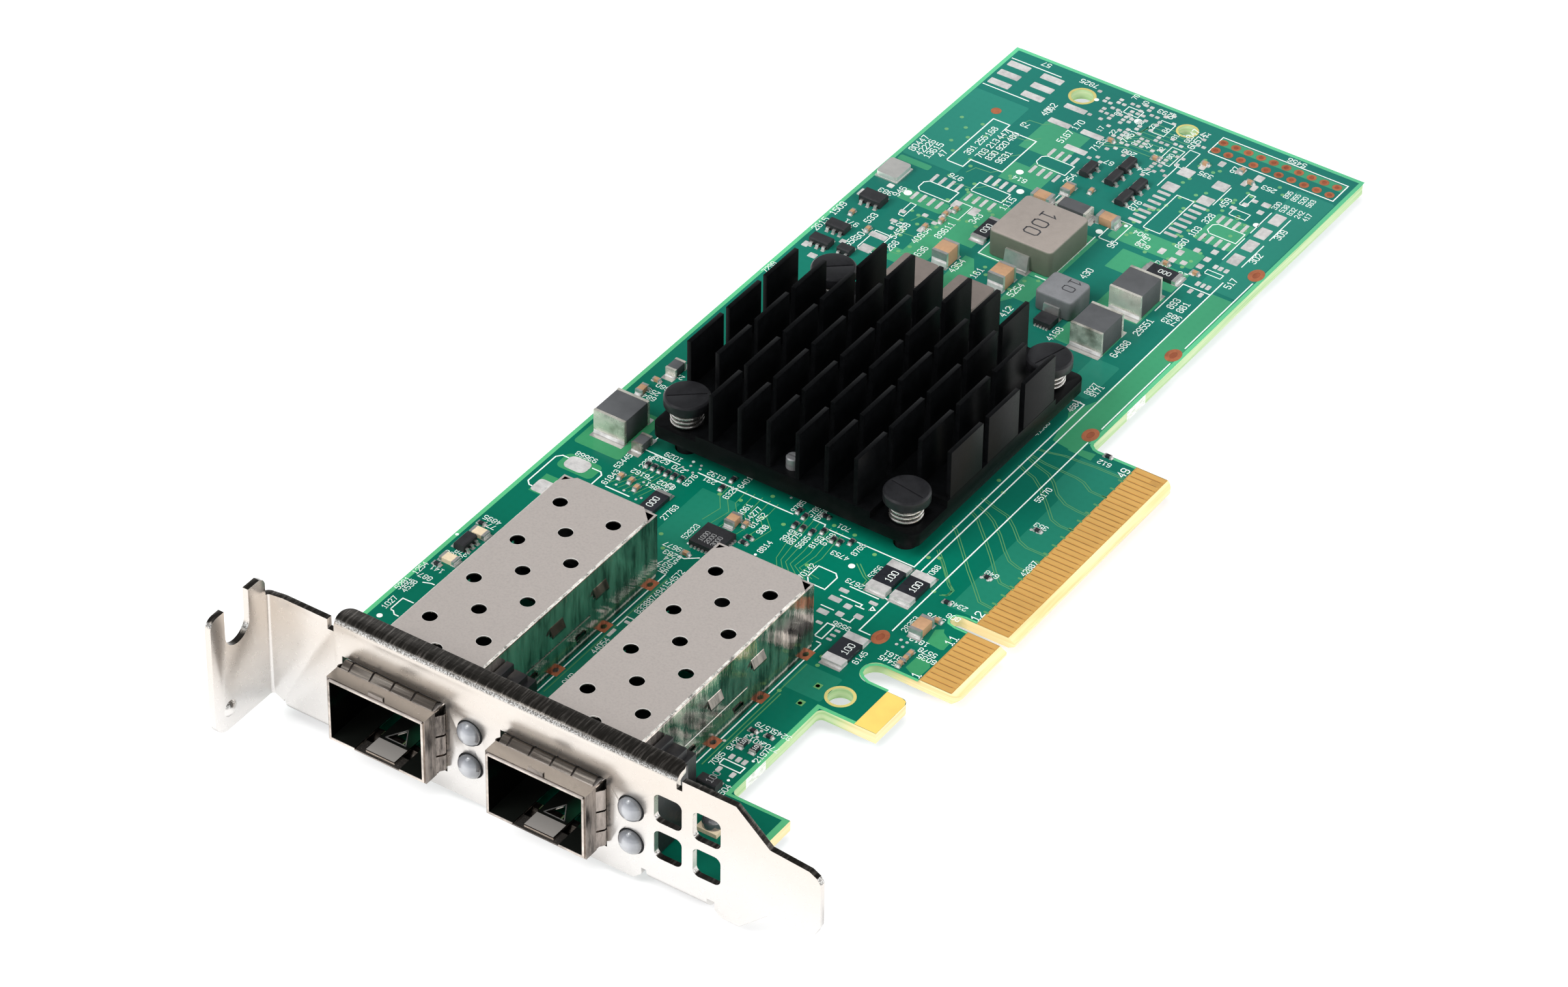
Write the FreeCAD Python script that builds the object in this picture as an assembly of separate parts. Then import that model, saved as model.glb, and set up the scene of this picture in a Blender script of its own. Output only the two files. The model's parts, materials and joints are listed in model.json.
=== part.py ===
import FreeCAD, Part
import os, math
from FreeCAD import Vector as V

# ---------------------------------------------------------------- dimensions (mm)
# working frame: X across the board from the edge opposite the contacts to the
# contact tips, Y along the board from the mounting plate, Z up, board top at 0
BOARD_T = 1.57
BOARD_NEAR = -56.9           # end of the board behind the mounting plate
BOARD_FAR = 110.55
BOARD_W = 56.65              # long side without the contact tab
TIP_X = 69.4                 # contact tip
TAB_NEAR, TAB_FAR = -12.05, 39.1
BARE_TAB = (-23.5, -16.1, 64.9)     # side tab: y from, y to, x end
END_TAB = (-42.4, 65.2)             # tab behind the plate: y end, x end
KEY_W, KEY_TOP = 1.9, 60.6
NOTCH_R = 2.0
CONTACT_PITCH, CONTACT_W = 1.0, 0.72
CONTACT_X0, CONTACT_X1, CONTACT_T = 63.9, 68.35, 0.06
BEVEL_X, BEVEL_H = 68.45, 0.55
HOLE_TAB = (57.5, -20.2, 1.6)
HOLE_END1 = (13.9, 105.6, 1.6)
HOLE_END2 = (30.3, 106.9, 1.3)
SLOTS = ((55.3, -8.0), (55.3, 41.3), (55.3, 62.0), (55.3, 83.5))
SLOT_L, SLOT_W = 1.5, 0.9

SHEET = 0.86                 # mounting plate sheet
PLATE_Y0 = -58.9             # outer face
PLATE_Y1 = PLATE_Y0 + SHEET  # inner face
PLATE_TOP, PLATE_LOW = 16.48, -2.43
PLATE_END = 80.5
FLANGE_END, FLANGE_X0, FLANGE_X1 = -56.0, 10.1, 60.2
EAR_Y, EAR_R = -50.8, 2.0
TONGUE_X0, TONGUE_X1 = -0.66, 0.20       # screw tongue
TONGUE_END = PLATE_Y1 - 11.75
TONGUE_Z0, TONGUE_Z1 = 0.0, 18.6
DIMPLE_Y, DIMPLE_Z = -66.95, 3.1
DIMPLE_R, DIMPLE_H = 1.15, 0.55
SCREW_SLOT_W, SCREW_SLOT_Y, SCREW_SLOT_Z = 4.6, -64.8, 14.35
VENT_W, VENT_H, VENT_R = 3.95, 4.3, 0.9
VENTS = ((58.95, 10.25), (64.48, 10.25), (58.95, 4.57), (64.48, 4.57))

PORTS = (18.95, 42.45)       # port centres in X
CAGE_W, CAGE_Z0, CAGE_Z1, CAGE_T = 14.2, 1.0, 10.45, 0.3
CAGE_Y0, CAGE_Y1 = -62.7, -14.4
CAGE_PIN_Y = (-56.0, -46.0, -36.0, -25.9, -16.0)
TOP_HOLE_R = 1.0
STUD_X, STUD_Y = 31.05, 8.35
LOUVRE_Y = (-35.8, -26.7)
LANCES = ((-30.5, 1.25), (-40.6, 1.6))
PIPE_DX, PIPE_Z, PIPE_R = 11.25, (3.15, 8.3), 1.65

HS_X0, HS_X1, HS_Y0, HS_Y1 = 10.45, 51.0, 6.3, 46.6
HS_Z0, HS_EAR, HS_Z1, HS_TOP = 2.4, 4.3, 5.3, 12.6
FIN_N, FIN_PITCH, FIN_T, FIN_X = 10, 4.43, 0.62, 10.78
FIN_ROWS = ((6.45, 13.1), (14.3, 21.7), (23.05, 30.25), (31.55, 38.85), (40.1, 46.5))
PINS = ((13.95, 9.4), (47.6, 9.4), (13.95, 43.0), (47.6, 43.0))
CAP_R, CAP_Z0, CAP_Z1 = 3.1, 7.1, 8.55
SPRING_R, SPRING_WIRE = 2.02, 0.23

os.makedirs("parts", exist_ok=True)
nodes = {}


def add(name, *shapes):
    nodes.setdefault(name, []).extend(shapes)


def box(x0, x1, y0, y1, z0, z1):
    return Part.makeBox(x1 - x0, y1 - y0, z1 - z0, V(x0, y0, z0))


def cyl(x, y, z0, z1, r):
    return Part.makeCylinder(r, z1 - z0, V(x, y, z0))


def cyl_y(x, z, y0, y1, r):
    return Part.makeCylinder(r, y1 - y0, V(x, y0, z), V(0, 1, 0))


def poly_z(pts, z0, z1):
    w = Part.makePolygon([V(x, y, z0) for x, y in pts] + [V(pts[0][0], pts[0][1], z0)])
    return Part.Face(w).extrude(V(0, 0, z1 - z0))


def poly_y(pts, y0, y1):
    w = Part.makePolygon([V(x, y0, z) for x, z in pts] + [V(pts[0][0], y0, pts[0][1])])
    return Part.Face(w).extrude(V(0, y1 - y0, 0))


def poly_x(pts, x0, x1):
    w = Part.makePolygon([V(x0, y, z) for y, z in pts] + [V(x0, pts[0][0], pts[0][1])])
    return Part.Face(w).extrude(V(x1 - x0, 0, 0))


def round_edges(shape, direction, where, r):
    # fillet the edges parallel to a direction whose midpoint is listed
    es = []
    for e in shape.Edges:
        if len(e.Vertexes) != 2:
            continue
        d = e.Vertexes[1].Point.sub(e.Vertexes[0].Point)
        if d.Length < 1e-6 or abs(abs(d.dot(direction)) / d.Length - 1) > 1e-4:
            continue
        m = e.Vertexes[0].Point.add(d.multiply(0.5))
        for w in where:
            if all(c is None or abs(c - v) < 0.03 for c, v in zip(w, (m.x, m.y, m.z))):
                es.append(e)
                break
    return shape.makeFillet(r, es) if es else shape


# ---------------------------------------------------------------- printed circuit board
outline = [
    (0, BOARD_NEAR), (0, BOARD_FAR), (BOARD_W, BOARD_FAR), (BOARD_W, TAB_FAR),
    (TIP_X, TAB_FAR), (TIP_X, TAB_NEAR), (BOARD_W, TAB_NEAR),
    (BOARD_W, BARE_TAB[1]), (BARE_TAB[2], BARE_TAB[1]), (BARE_TAB[2], BARE_TAB[0]),
    (BOARD_W, BARE_TAB[0]), (BOARD_W, END_TAB[0]), (END_TAB[1], END_TAB[0]),
    (END_TAB[1], BOARD_NEAR)]
board = poly_z(outline, -BOARD_T, 0)
Z = V(0, 0, 1)
board = round_edges(board, Z, [(0, BOARD_FAR, None), (BOARD_W, BOARD_FAR, None)], 0.8)
board = round_edges(board, Z, [(TIP_X, TAB_FAR, None), (TIP_X, TAB_NEAR, None)], 1.3)
board = round_edges(board, Z, [(BARE_TAB[2], BARE_TAB[1], None)], 1.0)
board = round_edges(board, Z, [(BOARD_W, TAB_NEAR, None), (BOARD_W, BARE_TAB[1], None)], 1.95)
board = round_edges(board, Z, [(BOARD_W, BARE_TAB[0], None), (BOARD_W, END_TAB[0], None),
                               (BOARD_W, TAB_FAR, None)], 0.8)
# keying notch in the contact row
board = board.cut(box(KEY_TOP + KEY_W / 2, TIP_X + 1, -KEY_W / 2, KEY_W / 2, -2, 1))
board = board.cut(cyl(KEY_TOP + KEY_W / 2, 0, -2, 1, KEY_W / 2))
# contact bevels on both faces
for s in (1, -1):
    zt = 0 if s > 0 else -BOARD_T
    board = board.cut(poly_y([(BEVEL_X, zt), (TIP_X + 0.01, zt - s * BEVEL_H), (TIP_X + 2, zt - s * BEVEL_H),
                              (TIP_X + 2, zt + s * 1), (BEVEL_X, zt + s * 1)], TAB_NEAR - 1, TAB_FAR + 1))
for x, y, r in (HOLE_TAB, HOLE_END1, HOLE_END2):
    board = board.cut(cyl(x, y, -2, 1, r))
for x, y in PINS:
    board = board.cut(cyl(x, y, -2, 1, 1.6))
for x, y in SLOTS:
    c = cyl(x, y - SLOT_L / 2 + SLOT_W / 2, -2, 1, SLOT_W / 2)
    c = c.fuse(cyl(x, y + SLOT_L / 2 - SLOT_W / 2, -2, 1, SLOT_W / 2))
    c = c.fuse(box(x - SLOT_W / 2, x + SLOT_W / 2, y - SLOT_L / 2 + SLOT_W / 2, y + SLOT_L / 2 - SLOT_W / 2, -2, 1))
    board = board.cut(c)
drill = []
for xc in PORTS:
    for sx in (-1, 1):
        for y in CAGE_PIN_Y:
            drill.append(cyl(xc + sx * (CAGE_W / 2 - CAGE_T / 2), y, -2, 1, 0.53))
for i in range(10):
    for y in (105.2, 107.3):
        drill.append(cyl(35.9 + 2.02 * i, y, -2, 1, 0.36))
board = board.cut(Part.makeCompound(drill))
add("circuit_board", board)

# ---------------------------------------------------------------- edge contacts
ys = [-11.5 + i * CONTACT_PITCH for i in range(11)] + [1.5 + i * CONTACT_PITCH for i in range(38)]
for i, y in enumerate(ys):
    short = 1.6 if i == 47 else 0.0
    add("front_contacts", box(CONTACT_X0, CONTACT_X1 - short, y - CONTACT_W / 2, y + CONTACT_W / 2, 0, CONTACT_T))
    short = 1.6 if i == 0 else 0.0
    add("back_contacts", box(CONTACT_X0, CONTACT_X1 - short, y - CONTACT_W / 2, y + CONTACT_W / 2,
                             -BOARD_T - CONTACT_T, -BOARD_T))

# ---------------------------------------------------------------- mounting plate, one bent sheet
bend_r = 0.4
bend_x = TONGUE_X1 + bend_r
bend_y = PLATE_Y0 - bend_r
face = poly_y([
    (bend_x, TONGUE_Z0), (1.9, -0.7), (1.9, -0.4), (2.1, -0.4), (2.1, PLATE_LOW + EAR_R), (9.7, PLATE_LOW + EAR_R),
    (9.7, -0.4), (10.5, -0.4), (10.5, PLATE_LOW), (54.0, PLATE_LOW), (55.1, -1.4), (55.1, -0.4), (55.8, -0.4),
    (55.8, PLATE_LOW + EAR_R), (64.5, PLATE_LOW + EAR_R), (64.5, -0.4), (65.6, -0.4), (65.6, -1.6),
    (66.5, PLATE_LOW), (69.2, PLATE_LOW), (73.2, 1.38), (PLATE_END - 1.9, 1.3),
    (PLATE_END - 0.6, 2.0), (PLATE_END, 3.4),
    (PLATE_END, 9.9), (PLATE_END - 0.5, 10.7), (PLATE_END - 1.6, 11.3), (73.4, 11.8), (68.6, PLATE_TOP - 0.35),
    (61.0, PLATE_TOP - 0.35), (61.0, 14.6), (60.2, 14.6), (60.2, PLATE_TOP - 1.3), (10.1, PLATE_TOP - 1.3),
    (10.1, 14.4), (9.2, 14.4), (9.2, 15.87), (2.4, 15.87), (bend_x, 15.6)], PLATE_Y0, PLATE_Y1)
tongue = poly_x([(bend_y, TONGUE_Z0), (bend_y, 17.5), (-59.6, 18.1), (-60.3, TONGUE_Z1), (TONGUE_END, TONGUE_Z1),
                 (TONGUE_END, TONGUE_Z0)], TONGUE_X0, TONGUE_X1)
tongue = tongue.cut(box(TONGUE_X0 - 1, TONGUE_X1 + 1, TONGUE_END - 1, -65.5, TONGUE_Z1 - 0.3, TONGUE_Z1 + 1))
X = V(1, 0, 0)
tongue = round_edges(tongue, X, [(None, TONGUE_END, TONGUE_Z0)], 2.4)
tongue = round_edges(tongue, X, [(None, TONGUE_END, TONGUE_Z1 - 0.3)], 1.4)
slot = box(TONGUE_X0 - 1, TONGUE_X1 + 1, SCREW_SLOT_Y - SCREW_SLOT_W / 2, SCREW_SLOT_Y + SCREW_SLOT_W / 2,
           SCREW_SLOT_Z, TONGUE_Z1 + 1)
slot = slot.fuse(Part.makeCylinder(SCREW_SLOT_W / 2, 4, V(TONGUE_X0 - 1, SCREW_SLOT_Y, SCREW_SLOT_Z), V(1, 0, 0)))
tongue = tongue.cut(slot)
corner = Part.makeCylinder(bend_r + SHEET, 15.6 - TONGUE_Z0, V(bend_x, bend_y, TONGUE_Z0))
corner = corner.cut(Part.makeCylinder(bend_r, 20, V(bend_x, bend_y, -1)))
corner = corner.common(box(bend_x - 3, bend_x, bend_y, bend_y + 3, -1, 20))
# shallow round dome pressed out of the tongue's inner face
dome_R = (DIMPLE_R ** 2 + DIMPLE_H ** 2) / (2 * DIMPLE_H)
dimple = Part.makeSphere(dome_R, V(TONGUE_X1 + DIMPLE_H - dome_R, DIMPLE_Y, DIMPLE_Z))
dimple = dimple.common(box(TONGUE_X1 - 0.2, TONGUE_X1 + 1, DIMPLE_Y - 2, DIMPLE_Y + 2, DIMPLE_Z - 2, DIMPLE_Z + 2))
# turned-in flange along the top
fy, fz = PLATE_Y0 + 1.3, PLATE_TOP - 1.3
roll = Part.makeCylinder(1.3, FLANGE_X1 - FLANGE_X0, V(FLANGE_X0, fy, fz), V(1, 0, 0))
roll = roll.cut(Part.makeCylinder(1.3 - SHEET, 80, V(0, fy, fz), V(1, 0, 0)))
roll = roll.common(box(FLANGE_X0, FLANGE_X1, PLATE_Y0 - 1, fy, fz, fz + 3))
flange = box(FLANGE_X0, FLANGE_X1, fy, FLANGE_END, PLATE_TOP - SHEET, PLATE_TOP)
flange = round_edges(flange, Z, [(FLANGE_X0, FLANGE_END, None), (FLANGE_X1, FLANGE_END, None)], 1.4)
# ears turned in under the board
ears = []
for x0, x1 in ((2.1, 9.7), (55.8, 64.5)):
    ey, ez = PLATE_Y0 + EAR_R, PLATE_LOW + EAR_R
    e = Part.makeCylinder(EAR_R, x1 - x0, V(x0, ey, ez), V(1, 0, 0))
    e = e.cut(Part.makeCylinder(EAR_R - SHEET, x1 - x0 + 2, V(x0 - 1, ey, ez), V(1, 0, 0)))
    e = e.common(box(x0, x1, PLATE_Y0 - 1, ey, ez - 3, ez))
    ears += [e, round_edges(box(x0, x1, ey, EAR_Y, PLATE_LOW, PLATE_LOW + SHEET), Z,
                            [(x0, EAR_Y, None), (x1, EAR_Y, None)], 1.5)]
plate = face.multiFuse([tongue, corner, dimple, roll, flange] + ears).removeSplitter()
cuts = []
for xc in PORTS:
    cuts.append(box(xc - CAGE_W / 2 - 0.6, xc + CAGE_W / 2 + 0.6, PLATE_Y0 - 1, PLATE_Y1 + 1, CAGE_Z0 - 0.6, CAGE_Z1 + 0.6))
    for z in PIPE_Z:
        cuts.append(cyl_y(xc + PIPE_DX, z, PLATE_Y0 - 1, PLATE_Y1 + 1, PIPE_R + 0.15))
for vx, vz in VENTS:
    b = box(vx - VENT_W / 2, vx + VENT_W / 2, PLATE_Y0 - 1, PLATE_Y1 + 1, vz - VENT_H / 2, vz + VENT_H / 2)
    b = b.makeFillet(VENT_R, [e for e in b.Edges if abs(e.CenterOfMass.y - (PLATE_Y0 + PLATE_Y1) / 2) < 0.01])
    cuts.append(b)
plate = plate.cut(Part.makeCompound(cuts))
add("bracket", plate)

# ---------------------------------------------------------------- module cages
for k, xc in enumerate(PORTS, 1):
    xl, xr = xc - CAGE_W / 2, xc + CAGE_W / 2
    t = CAGE_T
    shell = box(xl, xr, CAGE_Y0, CAGE_Y1, CAGE_Z0, CAGE_Z1)
    shell = round_edges(shell, V(0, 1, 0), [(xl, None, CAGE_Z1), (xr, None, CAGE_Z1)], 0.35)
    shell = shell.cut(box(xl + t, xr - t, CAGE_Y0 - 1, CAGE_Y1 - t, CAGE_Z0 + t, CAGE_Z1 - t))
    shell = shell.cut(box(xl + t, xr - t, -30.0, CAGE_Y1 - t, CAGE_Z0 - 1, CAGE_Z0 + t + 0.1))
    for x0, x1 in ((xl, xl + t), (xr - t, xr)):
        shell = shell.fuse(box(x0, x1, -56.4, -14.8, 0.0, CAGE_Z0 + 0.2))
        for y in CAGE_PIN_Y:
            shell = shell.fuse(box(x0, x1, y - 0.35, y + 0.35, -2.75, 0.2))
    tools = []
    # cropped corners of the top at the closed end
    for s in (-1, 1):
        xe = xc + s * CAGE_W / 2
        tools.append(poly_z([(xe + s * 0.1, CAGE_Y1 - 2.1), (xe + s * 0.1, CAGE_Y1 + 0.1), (xe - s * 2.1, CAGE_Y1 + 0.1)],
                            CAGE_Z1 - t - 0.02, CAGE_Z1 + 1))
    # vent holes in the top
    for i in range(5):
        for dx in (-4.05, 4.05):
            tools.append(cyl(xc + dx, -19.5 - 8.95 * i, CAGE_Z1 - 1, CAGE_Z1 + 1, TOP_HOLE_R))
        if i < 4:
            tools.append(cyl(xc, -23.95 - 8.95 * i, CAGE_Z1 - 1, CAGE_Z1 + 1, TOP_HOLE_R))
    # side slits and louvres
    for x0, x1 in ((xl - 0.5, xl + t + 0.05), (xr - t - 0.05, xr + 0.5)):
        tools.append(box(x0, x1, -42.0, -28.7, 3.55, 3.85))
        for yy in LOUVRE_Y:
            tools.append(box(x0, x1, yy - 1.35, yy + 1.35, 5.9, 7.1))
        for yy, zz in LANCES:
            tools.append(box(x0, x1, yy - 0.95, yy + 0.95, zz, zz + 0.8))
    # latch tongue in the floor
    for s in (-1, 1):
        tools.append(box(xc + s * 2.75 - 0.6, xc + s * 2.75 + 0.6, CAGE_Y0 - 1, -50.2, CAGE_Z0 - 1, CAGE_Z0 + t + 0.1))
    tools.append(box(xc - 2.2, xc + 2.2, CAGE_Y0 - 1, CAGE_Y0 + 0.7, CAGE_Z0 - 1, CAGE_Z0 + t + 0.1))
    tools.append(poly_z([(xc - 1.5, -58.9), (xc + 1.5, -58.9), (xc, -56.4)], CAGE_Z0 - 1, CAGE_Z0 + t + 0.1))
    shell = shell.cut(Part.makeCompound(tools))
    # louvre lips standing out of the side walls
    for s, xw in ((-1, xl), (1, xr)):
        for yy in LOUVRE_Y:
            lip = poly_y([(xw - s * 0.05, 7.45), (xw, 7.45), (xw + s * 0.5, 6.2), (xw + s * 0.5, 5.95), (xw + s * 0.4, 5.95),
                          (xw - s * 0.05, 7.05)], yy - 1.35, yy + 1.35)
            shell = shell.fuse(lip)
        for yy, zz in LANCES:
            lip = poly_y([(xw - s * 0.05, zz - 0.2), (xw, zz - 0.2), (xw + s * 0.35, zz + 0.55), (xw + s * 0.35, zz + 0.7),
                          (xw - s * 0.05, zz + 0.05)], yy - 0.95, yy + 0.95)
            shell = shell.fuse(lip)
    # spring strips bent in from the walls near the mouth
    for s, xw in ((-1, xl + t), (1, xr - t)):
        strip = poly_z([(xw, -56.0), (xw - s * 0.02, -56.0), (xw - s * 0.42, -53.2), (xw - s * 0.42, -52.9), (xw, -52.6)],
                       4.6, 7.2)
        shell = shell.fuse(strip)
    add("cage_%d" % k, shell.removeSplitter())

    # spring gasket clipped round the mouth
    g = 0.2
    gx0, gx1, gz0, gz1 = xl, xr, CAGE_Z0, CAGE_Z1
    ring = box(gx0 - g, gx1 + g, -62.5, -60.4, gz0 - g, gz1 + g).cut(box(gx0, gx1, -64, -58, gz0, gz1))
    ring = ring.fuse(box(xc - 1.1, xc + 1.1, -62.5, -62.15, gz1 + g, gz1 + 0.75))
    th = 0.16
    prof = [(-60.5, 0.2), (-59.6, 0.85), (-59.35, 0.85), (-58.5, 0.32), (-57.6, 0.32),
            (-57.6, 0.32 - th), (-58.55, 0.32 - th), (-59.38, 0.85 - th), (-59.57, 0.85 - th), (-60.5, 0.2 - th)]
    fingers = []
    xe = (xl + 0.15, xl + 1.55, xl + 4.65, xl + 7.75, xl + 10.85, xr - 0.15)
    for a, b in zip(xe[:-1], xe[1:]):
        fingers.append(poly_x([(y, gz1 + o) for y, o in prof], a + 0.14, b - 0.14))
        fingers.append(poly_x([(y, gz0 - o) for y, o in prof], a + 0.14, b - 0.14))
    ze = (gz0 + 0.1, gz0 + 2.7, gz0 + 5.75, gz1 - 0.35)
    for a, b in zip(ze[:-1], ze[1:]):
        fingers.append(poly_z([(gx1 + o, y) for y, o in prof], a + 0.14, b - 0.14))
        fingers.append(poly_z([(gx0 - o, y) for y, o in prof], a + 0.14, b - 0.14))
    add("gasket_%d" % k, ring.multiFuse(fingers).removeSplitter())

    # module receptacle at the closed end of the cage
    rec = box(xc - 5.7, xc + 5.7, -27.0, -15.4, 0, 7.4)
    rec = rec.cut(box(xc - 4.75, xc + 4.75, -28, -20.5, 3.5, 5.1))
    rec = rec.cut(box(xc - 4.3, xc + 4.3, -28, -25.6, 6.2, 8))
    rec = rec.cut(box(xc - 5.8, xc - 4.2, -15.9, -15, 5.0, 8))
    rec = rec.cut(box(xc + 4.2, xc + 5.8, -15.9, -15, 5.0, 8))
    add("receptacle_%d" % k, rec)
    for i in range(10):
        x = xc - 3.6 + 0.8 * i
        add("receptacle_contacts", box(x - 0.17, x + 0.17, -26.2, -20.5, 3.5, 3.62),
            box(x - 0.17, x + 0.17, -26.2, -20.5, 4.98, 5.1))

    # light guide holder beside the cage
    w = xr + 0.1
    hold = box(w, xc + PIPE_DX + 2.3, PLATE_Y1, -50.5, 0.3, 10.2)
    hold = hold.cut(box(w - 1, xr + 0.45, PLATE_Y1 - 1, -57.4, 0, 12))
    for z in PIPE_Z:
        hold = hold.cut(cyl_y(xc + PIPE_DX, z, PLATE_Y1 - 1, -55.4, PIPE_R))
    arms = [box(w + 0.2, w + 3.2, -51, -44.3, 0, 5.9), box(w, w + 2.5, -51, -45.2, 4.6, 7.0),
            box(w, w + 1.1, -51, -46.0, 7.5, 8.6)]
    add("guide_holder_%d" % k, hold.multiFuse(arms).removeSplitter())
    for z in PIPE_Z:
        p = cyl_y(xc + PIPE_DX, z, PLATE_Y0 - 0.45, -55.4, PIPE_R)
        rs = 1.95
        cap = Part.makeSphere(rs, V(xc + PIPE_DX, PLATE_Y0 - 0.45 + math.sqrt(rs * rs - PIPE_R * PIPE_R), z))
        cap = cap.common(box(xc, xc + 20, -65, PLATE_Y0 - 0.45, z - 5, z + 5))
        add("light_guides", p.fuse(cap).removeSplitter())

# ---------------------------------------------------------------- heatsink with its fixings
base = box(HS_X0, HS_X1, HS_Y0, HS_Y1, HS_Z0, HS_Z1)
base = round_edges(base, Z, [(HS_X0, HS_Y0, None), (HS_X1, HS_Y0, None), (HS_X0, HS_Y1, None), (HS_X1, HS_Y1, None)], 1.2)
ear_x, ear_y = 6.9, 7.3
for sx in (0, 1):
    for sy in (0, 1):
        x0, x1 = (HS_X0 - 1, HS_X0 + ear_x) if sx == 0 else (HS_X1 - ear_x, HS_X1 + 1)
        y0, y1 = (HS_Y0 - 1, HS_Y0 + ear_y) if sy == 0 else (HS_Y1 - ear_y, HS_Y1 + 1)
        base = base.cut(box(x0, x1, y0, y1, HS_EAR, HS_Z1 + 1))
fins = []
for i in range(FIN_N):
    x = FIN_X + FIN_PITCH * i
    for r, (y0, y1) in enumerate(FIN_ROWS):
        if r in (0, 4) and not 2 <= i <= 7:
            continue
        fins.append(box(x - FIN_T / 2, x + FIN_T / 2, y0, y1, HS_Z1 - 0.1, HS_TOP))
sink = base.multiFuse(fins)
for x, y in PINS:
    sink = sink.cut(cyl(x, y, 0, 6, 1.65))
sink = sink.cut(cyl(STUD_X, STUD_Y, 3.9, 6, 0.95))
add("heatsink", sink.removeSplitter())
stud = cyl(STUD_X, STUD_Y, 3.9, 7.0, 0.95)
stud = stud.makeChamfer(0.15, [e for e in stud.Edges if abs(e.CenterOfMass.z - 7.0) < 0.01])
add("sink_stud", stud.cut(box(STUD_X - 1.2, STUD_X + 1.2, STUD_Y - 0.14, STUD_Y + 0.14, 6.65, 7.4)))
for x, y in PINS:
    cap = cyl(x, y, CAP_Z0, CAP_Z1, CAP_R)
    cap = cap.makeChamfer(0.25, [e for e in cap.Edges if abs(e.CenterOfMass.z - CAP_Z1) < 0.01])
    ang = {0: 40, 1: -8, 2: 40, 3: 75}[PINS.index((x, y))]
    line = box(-2.6, 2.6, -0.12, 0.12, 8.37, 9)
    line.rotate(V(0, 0, 0), V(0, 0, 1), ang)
    line.translate(V(x, y, 0))
    cap = cap.cut(line)
    shank = cyl(x, y, -BOARD_T - 0.3, CAP_Z0 + 0.1, 1.35)
    neck = cyl(x, y, CAP_Z0 - 0.9, CAP_Z0 + 0.1, 1.7)
    barb = Part.makeCone(0.95, 1.95, 1.8, V(x, y, -BOARD_T - 1.8), V(0, 0, 1))
    pin = cap.multiFuse([shank, neck, barb])
    pin = pin.cut(box(x - 0.3, x + 0.3, y - 3, y + 3, -5, -0.4))
    add("push_pins", pin.removeSplitter())
    turns = 3.6
    h = CAP_Z0 - HS_EAR - 2 * SPRING_WIRE - 0.008
    hel = Part.makeHelix(h / turns, h, SPRING_R)
    arcs = [Part.makeCircle(SPRING_WIRE, V(SPRING_R, 0, 0), V(0, 1, 0), 22.5 * a, 22.5 * (a + 1)) for a in range(16)]
    prof = Part.Wire(arcs)
    sp = Part.Wire(hel.Edges).makePipeShell([prof], True, True)
    sp.rotate(V(0, 0, 0), V(0, 0, 1), 210)
    sp.translate(V(x, y, HS_EAR + SPRING_WIRE + 0.004))
    add("pin_springs", sp)
add("controller_chip", box(18.2, 43.2, 14.0, 39.0, 0, 1.2).fuse(box(20.2, 41.2, 16.0, 37.0, 1.2, 2.15)))
add("thermal_pad", box(20.7, 40.7, 16.5, 36.5, 2.15, HS_Z0))


# ---------------------------------------------------------------- small parts on the board
def chip(bodies, ends, x0, x1, y0, y1, h, cap, along="y", lift=0.03):
    if along == "y":
        add(bodies, box(x0, x1, y0 + cap, y1 - cap, lift, h))
        add(ends, box(x0, x1, y0, y0 + cap, 0, h), box(x0, x1, y1 - cap, y1, 0, h))
    else:
        add(bodies, box(x0 + cap, x1 - cap, y0, y1, lift, h))
        add(ends, box(x0, x0 + cap, y0, y1, 0, h), box(x1 - cap, x1, y0, y1, 0, h))


def leaded(x0, x1, y0, y1, h, n, side="y", lead=0.55, w=0.4, pitch=None, rows=(-1, 1)):
    body = box(x0, x1, y0, y1, 0.1, h)
    if side == "y":
        es = [e for e in body.Edges if abs(e.CenterOfMass.z - h) < 0.01 and abs(e.CenterOfMass.y - (y0 + y1) / 2) > 0.1]
    else:
        es = [e for e in body.Edges if abs(e.CenterOfMass.z - h) < 0.01 and abs(e.CenterOfMass.x - (x0 + x1) / 2) > 0.1]
    add("ic_bodies", body.makeChamfer(0.16, es))
    L = (x1 - x0) if side == "y" else (y1 - y0)
    pitch = pitch or L / n
    zm = 0.1 + (h - 0.1) * 0.42
    for j, s in enumerate(rows):
        cnt = n if isinstance(n, int) else n[j]
        for i in range(cnt):
            c = ((x0 + x1) / 2 if side == "y" else (y0 + y1) / 2) + (i - (cnt - 1) / 2) * pitch
            e = (y1 if s > 0 else y0) if side == "y" else (x1 if s > 0 else x0)
            pts = [(e, zm), (e + s * 0.3, zm), (e + s * 0.42, 0.14), (e + s * lead, 0.14), (e + s * lead, 0),
                   (e + s * 0.3, 0), (e + s * 0.18, zm - 0.14), (e, zm - 0.14)]
            if side == "y":
                add("ic_leads", poly_x(pts, c - w / 2, c + w / 2))
            else:
                add("ic_leads", poly_y(pts, c - w / 2, c + w / 2))


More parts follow.
